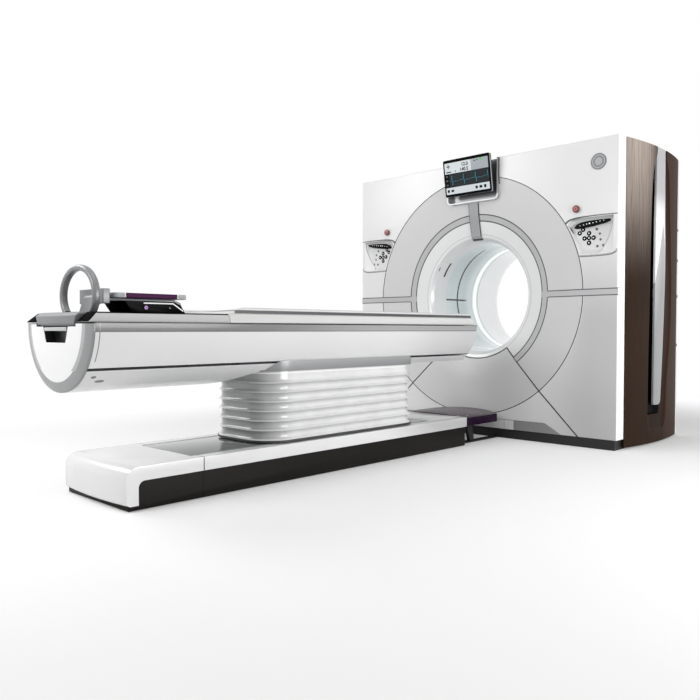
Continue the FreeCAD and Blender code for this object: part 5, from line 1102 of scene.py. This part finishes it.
dressIn("base_cover", "baseWhite", "#EAEAEA", 0.24, 0.02, 600, 0.008, pattern=basePattern, edge=0.003, coat=0.25,
     coatRough=0.14)
dressIn("base_skirt", "skirtBlack", "#1C1A18", 0.42, 0.12, 900, 0.05, pattern=skirtPattern, edge=0.0015, specular=0.4,
     ior=1.2)
dressIn("track_plate", "trackPlate", "#747B78", 0.14, 0.12, 300, 0.004, edge=0.0015, driftScale=1.5, coat=0.2,
     coatRough=0.08)
dressIn("table_base", "baseFrame", "#121213", 0.5, 0.2, 500, 0.05)
dressIn("dock_bridge", "bridgePurple", "#211026", 0.22, 0.12, 300, 0.006, pattern=bridgePattern, edge=0.002,
     specular=0.4, ior=1.2)
makePiece("bridgeRivets", [lathe((x, y, bridge["top"] - 0.0006 - bridge["fall"] * (x / bridge["half"]) ** 2), (0, 0, 1),
                                 bridge["rivet"], 20) for x, y in bridge["rivets"]],
          machined, "gantry")
print("table base dressed")


# bellows
bellows = {"halfWidth": 0.24, "foot": -2.536, "head": -1.339, "corner": 0.15, "low": 0.2062, "high": 0.5596,
           "lips": 7, "plain": 0.062, "reach": 0.0196, "wall": 0.006}
pitch = (bellows["high"] - bellows["low"] - bellows["plain"]) / (bellows["lips"] - 1)
folded = (bellows["lips"] - 1) * pitch


def columnLoop(straight=26, bend=22):
    # a rounded rectangle in plan: four quarter circles, each with the straight run after it, and outward directions
    r = bellows["corner"]
    across, head, foot = bellows["halfWidth"] - r, bellows["head"] - r, bellows["foot"] + r
    arcs = []
    for centre, start in (((across, head), 0), ((-across, head), 90), ((-across, foot), 180), ((across, foot), 270)):
        turn = np.radians(np.linspace(start, start + 90, bend))
        outward = np.stack([np.cos(turn), np.sin(turn)], axis=1)
        arcs.append((np.array(centre) + outward * r, outward))
    t = np.linspace(0, 1, straight)[1:-1, None]
    loop, normals = [], []
    for (arc, outward), (following, _) in zip(arcs, arcs[1:] + arcs[:1]):
        loop += [arc, arc[-1] + (following[0] - arc[-1]) * t]
        normals += [outward, np.repeat(outward[-1:], len(t), axis=0)]
    return np.vstack(loop), np.vstack(normals)


def foldedSkin():
    # each lip stands out sharply and falls off upwards, reach = 0.92 e^(-t / 0.16) + 0.06 + 0.16 t^3, and swells
    # out again just under the next; the last fold runs out flat
    steps = np.array([0, 0.01, 0.025, 0.05, 0.08, 0.12, 0.17, 0.23, 0.3, 0.38, 0.46, 0.54, 0.62, 0.7, 0.78, 0.85, 0.9,
                      0.93, 0.955, 0.975, 0.99])
    levels = np.concatenate([(i + steps) * pitch for i in range(bellows["lips"] - 1)]
                            + [folded + steps[:14] / 0.7 * bellows["plain"]])
    among = levels < folded
    t = np.where(among, (levels / pitch) % 1.0, (levels - folded) / pitch)
    reach = bellows["reach"] * (0.92 * np.exp(-t / 0.16) + 0.06
                                + np.where(among, 0.16 * t ** 3 + 0.7 * np.clip((t - 0.95) / 0.05, 0, 1) ** 2.2, 0))
    loop, normals = columnLoop()
    along = np.arange(len(loop)) / len(loop) * 2 * np.pi
    wave = 1 + 0.06 * np.sin(along * 9)[None, :] * np.sin(levels * 70)[:, None]
    offset = np.minimum(reach[:, None] * wave, bellows["reach"])
    outer, inner = np.zeros((len(levels), len(loop), 3)), np.zeros((12, len(loop), 3))
    outer[:, :, :2] = loop + normals * offset[:, :, None]
    outer[:, :, 2] = (bellows["low"] + levels)[:, None]
    inner[:, :, :2] = loop - normals * bellows["wall"]
    inner[:, :, 2] = np.linspace(bellows["high"], bellows["low"], 12)[:, None]
    return gridPart(np.concatenate([outer, inner]), wrapRows=True)


def skinPattern(x, y, z):
    # painted shade darkens the foot end; each fold darkens with painted shade towards the lip over it, and a painted
    # highlight lies on its own lip
    phase = fraction((z - bellows["low"]) / pitch)
    folds = z < bellows["low"] + folded
    # painted shade at the foot end and under each lip, a painted highlight on each lip
    return [(fall(y, -2.54, -2.33) * 0.75, "#8C8D8F"),
            (ease(phase, 0.45, 0.97) * folds * 0.55, "#8E9092"),
            (ease(phase, 0.93, 0.985) * folds * 0.8, "#3E4042"),
            (fall(phase, 0.06, 0.2) * 0.9, "#FFFFFF")]


skinWhite = finish("bellowsSkin", look("#EAEAEA", 0.22, 0.06, 70, 0.1, driftScale=9, bumpDepth=0.002, coat=0.5,
                                       coatRough=0.12), skinPattern)
skin = makePiece("foldedBellows", [foldedSkin()], skinWhite, None, crisp=70)
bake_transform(skin)
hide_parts("bellows")
dressIn("column_carriage", "carriageGrey", "#3C3E40", 0.4, 0.1, 500, 0.03)
print("bellows done")


# table: ovals are (depth, height, half length, half height)
table = {"seam": 0.606, "band": 0.7655, "top": 0.7965, "bandLine": 0.0035, "collar": (0.56, 0.6209),
         "capJoint": (-3.46, -3.4555), "jointLow": 0.64, "side": 0.12,
         "ovals": [(-3.434, 0.5735, 0.012, 0.0055), (-3.395, 0.554, 0.022, 0.006)]}
tableLook = look("#E0E0E0", 0.26, 0.02, 700, 0.01, coat=0.35, coatRough=0.12)


def tablePattern(x, y, z):
    # the grey band at the rim with a dark line under it and darker towards the foot end, the sides greyer towards the
    # head end as painted shade, black where the shells meet and along the top
    band = z > table["band"]
    return [(band, "#A2A2A3"),
            # painted shade towards the head end
            (ease(y, -1.7, -0.85) * (z < table["band"]) * 0.8, "#C6C6C7"),
            (band * fall(y, -3.0, -1.7), "#606062"),
            (within(y, *table["capJoint"]) * (z > table["jointLow"]), "#808183"),
            (within(z, table["band"] - table["bandLine"], table["band"]), "#56585A"),
            (z > table["top"], "#1B1B1C"),
            (z < table["seam"] + 0.007, "#121213")]


def lowerShellPattern(x, y, z):
    # black at the seam, two small dark ovals near the foot end
    return [(z > table["seam"] - 0.005, "#121213")] + [
        ((span((y - middle) / long, (z - height) / tall) < 1.0) * (abs(x) > table["side"]), "#6A6C6E")
        for middle, height, long, tall in table["ovals"]]


# depths of the end cap's rim, its dark edge and its face, and the hand recess
cap = {"rim": -3.4868, "edge": -3.479, "upperRim": -3.486, "face": -3.4985, "faceLine": (-3.4998, -3.4972),
       "lineLow": 0.6, "top": 0.796, "recess": (-3.4972, -3.4535), "recessTall": (0.7155, 0.7858),
       "recessHalf": 0.1225}


def capPattern(x, y, z):
    # grey sloping rim with a dark edge, white face with a pale line round it, black top, and the hand recess darkened
    # as painted shade
    recess = within(y, *cap["recess"]) * within(z, *cap["recessTall"]) * (abs(x) < cap["recessHalf"])
    return [(y > cap["rim"], "#8A8B8C"),
            (y > cap["edge"], "#3E3F40"),
            ((y > cap["upperRim"]) * (z > table["band"]), "#98999A"),
            (y < cap["face"], "#F8F8F8"),
            (within(y, *cap["faceLine"]) * (z > cap["lineLow"]), "#B9BABB"),
            (z > cap["top"], "#0C0C0D"),
            # painted shade in the hand recess
            (recess, "#242424")]


def collarPattern(x, y, z):
    # a painted highlight along the upper edge, and painted shade growing towards the foot
    # painted shade towards the foot, painted highlight on the upper edge
    return [(fall(z, *table["collar"]), "#8A8B8C"), (z > table["collar"][1] - 0.006, "#DADADB")]


deck = {"foot": (-3.498, 0.807), "steep": 1.128, "skin": 0.003, "top": 0.8395, "inner": 0.201}
cradle = {"band": (0.8495, 0.8655), "bandFrom": -2.757, "top": 0.8745, "line": (0.266, 0.269), "lineLow": 0.866}
tray = {"purple": (-3.235, -2.974), "edge": 0.006}
console = {"side": 0.0975, "line": (0.8924, 0.0028), "level": (-3.137, -2.985), "drop": (-2.985, -2.93),
           "bend": (-2.985, 0.893), "steep": -0.62, "light": (-3.0015, 0.8718, 0.0028),
           "button": (-3.126, 0.872), "buttonRing": (0.0048, 0.0076)}


def deckPattern(x, y, z):
    # black on its top, its inner part and its sloping foot end, light on the sides
    slope = (y - deck["foot"][0]) - (z - deck["foot"][1]) * deck["steep"]
    return [((z > deck["top"]) | (slope < deck["skin"]) | (abs(x) < deck["inner"]), "#0C0C0D")]


def cradlePattern(x, y, z):
    # light side strip, a painted shadow as a dark band under the top plate, a greyer top with a thin line along its
    # edge
    # painted shadow under the top plate
    return [(within(z, *cradle["band"]) * (y > cradle["bandFrom"]), "#4C4E50"),
            (z > cradle["top"], "#BCBDBE"),
            (within(abs(x), *cradle["line"]) * (z > cradle["lineLow"]), "#77797B")]


def trayPattern(x, y, z):
    # clear ends with painted highlights on their edges, purple between them
    foot, head = tray["purple"]
    return [(within(y, foot, head), "#4A1648"),
            # painted highlights on the clear ends' edges
            (within(y, foot - tray["edge"], foot) | within(y, head, head + tray["edge"]), "#F0F0F0")]


def consolePattern(x, y, z):
    # black with a lit white line under its top edge that follows the slope down, and a small light
    out = abs(x) > console["side"]
    level = around(z, *console["line"]) * within(y, *console["level"])
    slope = (z - console["bend"][1]) - (y - console["bend"][0]) * console["steep"]
    line = out * (level | around(slope, 0.0, 0.0032) * within(y, *console["drop"]))
    middle, height, radius = console["light"]
    return {"layers": [(line, "#EDEDED"), (out * (span(y - middle, z - height) < radius), "#D8D8D8")],
            "glow": line * 0.45}


def buttonPattern(x, y, z):
    # a lit purple ring round a dark middle
    middle, height = console["button"]
    ring = within(span(y - middle, z - height), *console["buttonRing"])
    return {"layers": [(1.0, "#19101D"), (ring, "#B45BD0")], "glow": ring * 0.5}


dress("table_body", finish("tableWhite", tableLook, tablePattern))
dress("lower_shell", finish("lowerShell", dict(tableLook, colour="#D6D6D7"), lowerShellPattern))
dressIn("column_collar", "collarSilver", "#9FA0A1", 0.34, 0.04, 300, 0.01, pattern=collarPattern, edge=0.002, metal=0.15,
     stretch=(1, 0.05, 1))
dressIn("table_frame", "tableFrame", "#2A2C2D", 0.5, 0.15, 500)
dressIn("foot_end_cap", "capGrey", "#9B9C9D", 0.34, 0.04, 700, 0.02, pattern=capPattern)
dressIn("latch_block", "latchGrey", "#8F9092", 0.42, 0.05, 800, 0.02, edge=0.005, specular=0.12)
dressIn("release_paddle", "paddleGrey", "#C3C4C5", 0.34, 0.04, 800, 0.02, edge=0.001)
dressIn("foot_deck", "deckFinish", "#CFCFCF", 0.55, 0.03, 700, 0.01, pattern=deckPattern, edge=0.002, ior=1.03)
dressIn("cradle", "cradleTop", "#DCDCDB", 0.34, 0.03, 700, 0.01, pattern=cradlePattern, edge=0.003)
dressIn("tray_bracket", "bracketGrey", "#87898B", 0.34, 0.06, 700, 0.03, edge=0.002, metal=0.2)
dressIn("tray", "trayClear", "#C2C3C5", 0.34, 0.1, 300, 0.01, pattern=trayPattern, edge=0.003, specular=0.06)
dressIn("console", "consoleBlack", "#0D0D0F", 0.35, 0.2, 500, 0.01, pattern=consolePattern, edge=0.003, ior=1.12)
dressIn("console_button", "buttonPurple", "#6E2F86", 0.3, 0.1, 600, pattern=buttonPattern)

hoop = {"centre": (0, -3.392, 0.922), "halfWidth": 0.155, "halfHeight": 0.12, "foot": 0.8452, "width": 0.0275,
        "depth": 0.0335, "steps": 140}
lowest = math.asin((hoop["foot"] - hoop["centre"][2]) / hoop["halfHeight"])
turn = np.linspace(lowest, np.pi - lowest, hoop["steps"])
path = np.stack([hoop["halfWidth"] * np.cos(turn), 0 * turn, hoop["halfHeight"] * np.sin(turn)],
                axis=1) + np.array(hoop["centre"])
points, faces = carried(path, squircle(hoop["width"], hoop["depth"], 2.6, 36), (0, 1, 0))
points[:, 2] = np.maximum(points[:, 2], hoop["foot"])
makePiece("hoopHandle", [(points, faces)], finish("hoopGrey", look("#858688", 0.32, 0.05, 700, 0.02, metal=0.2)),
          "table", replaces=["hoop_handle"])
print("table dressed")
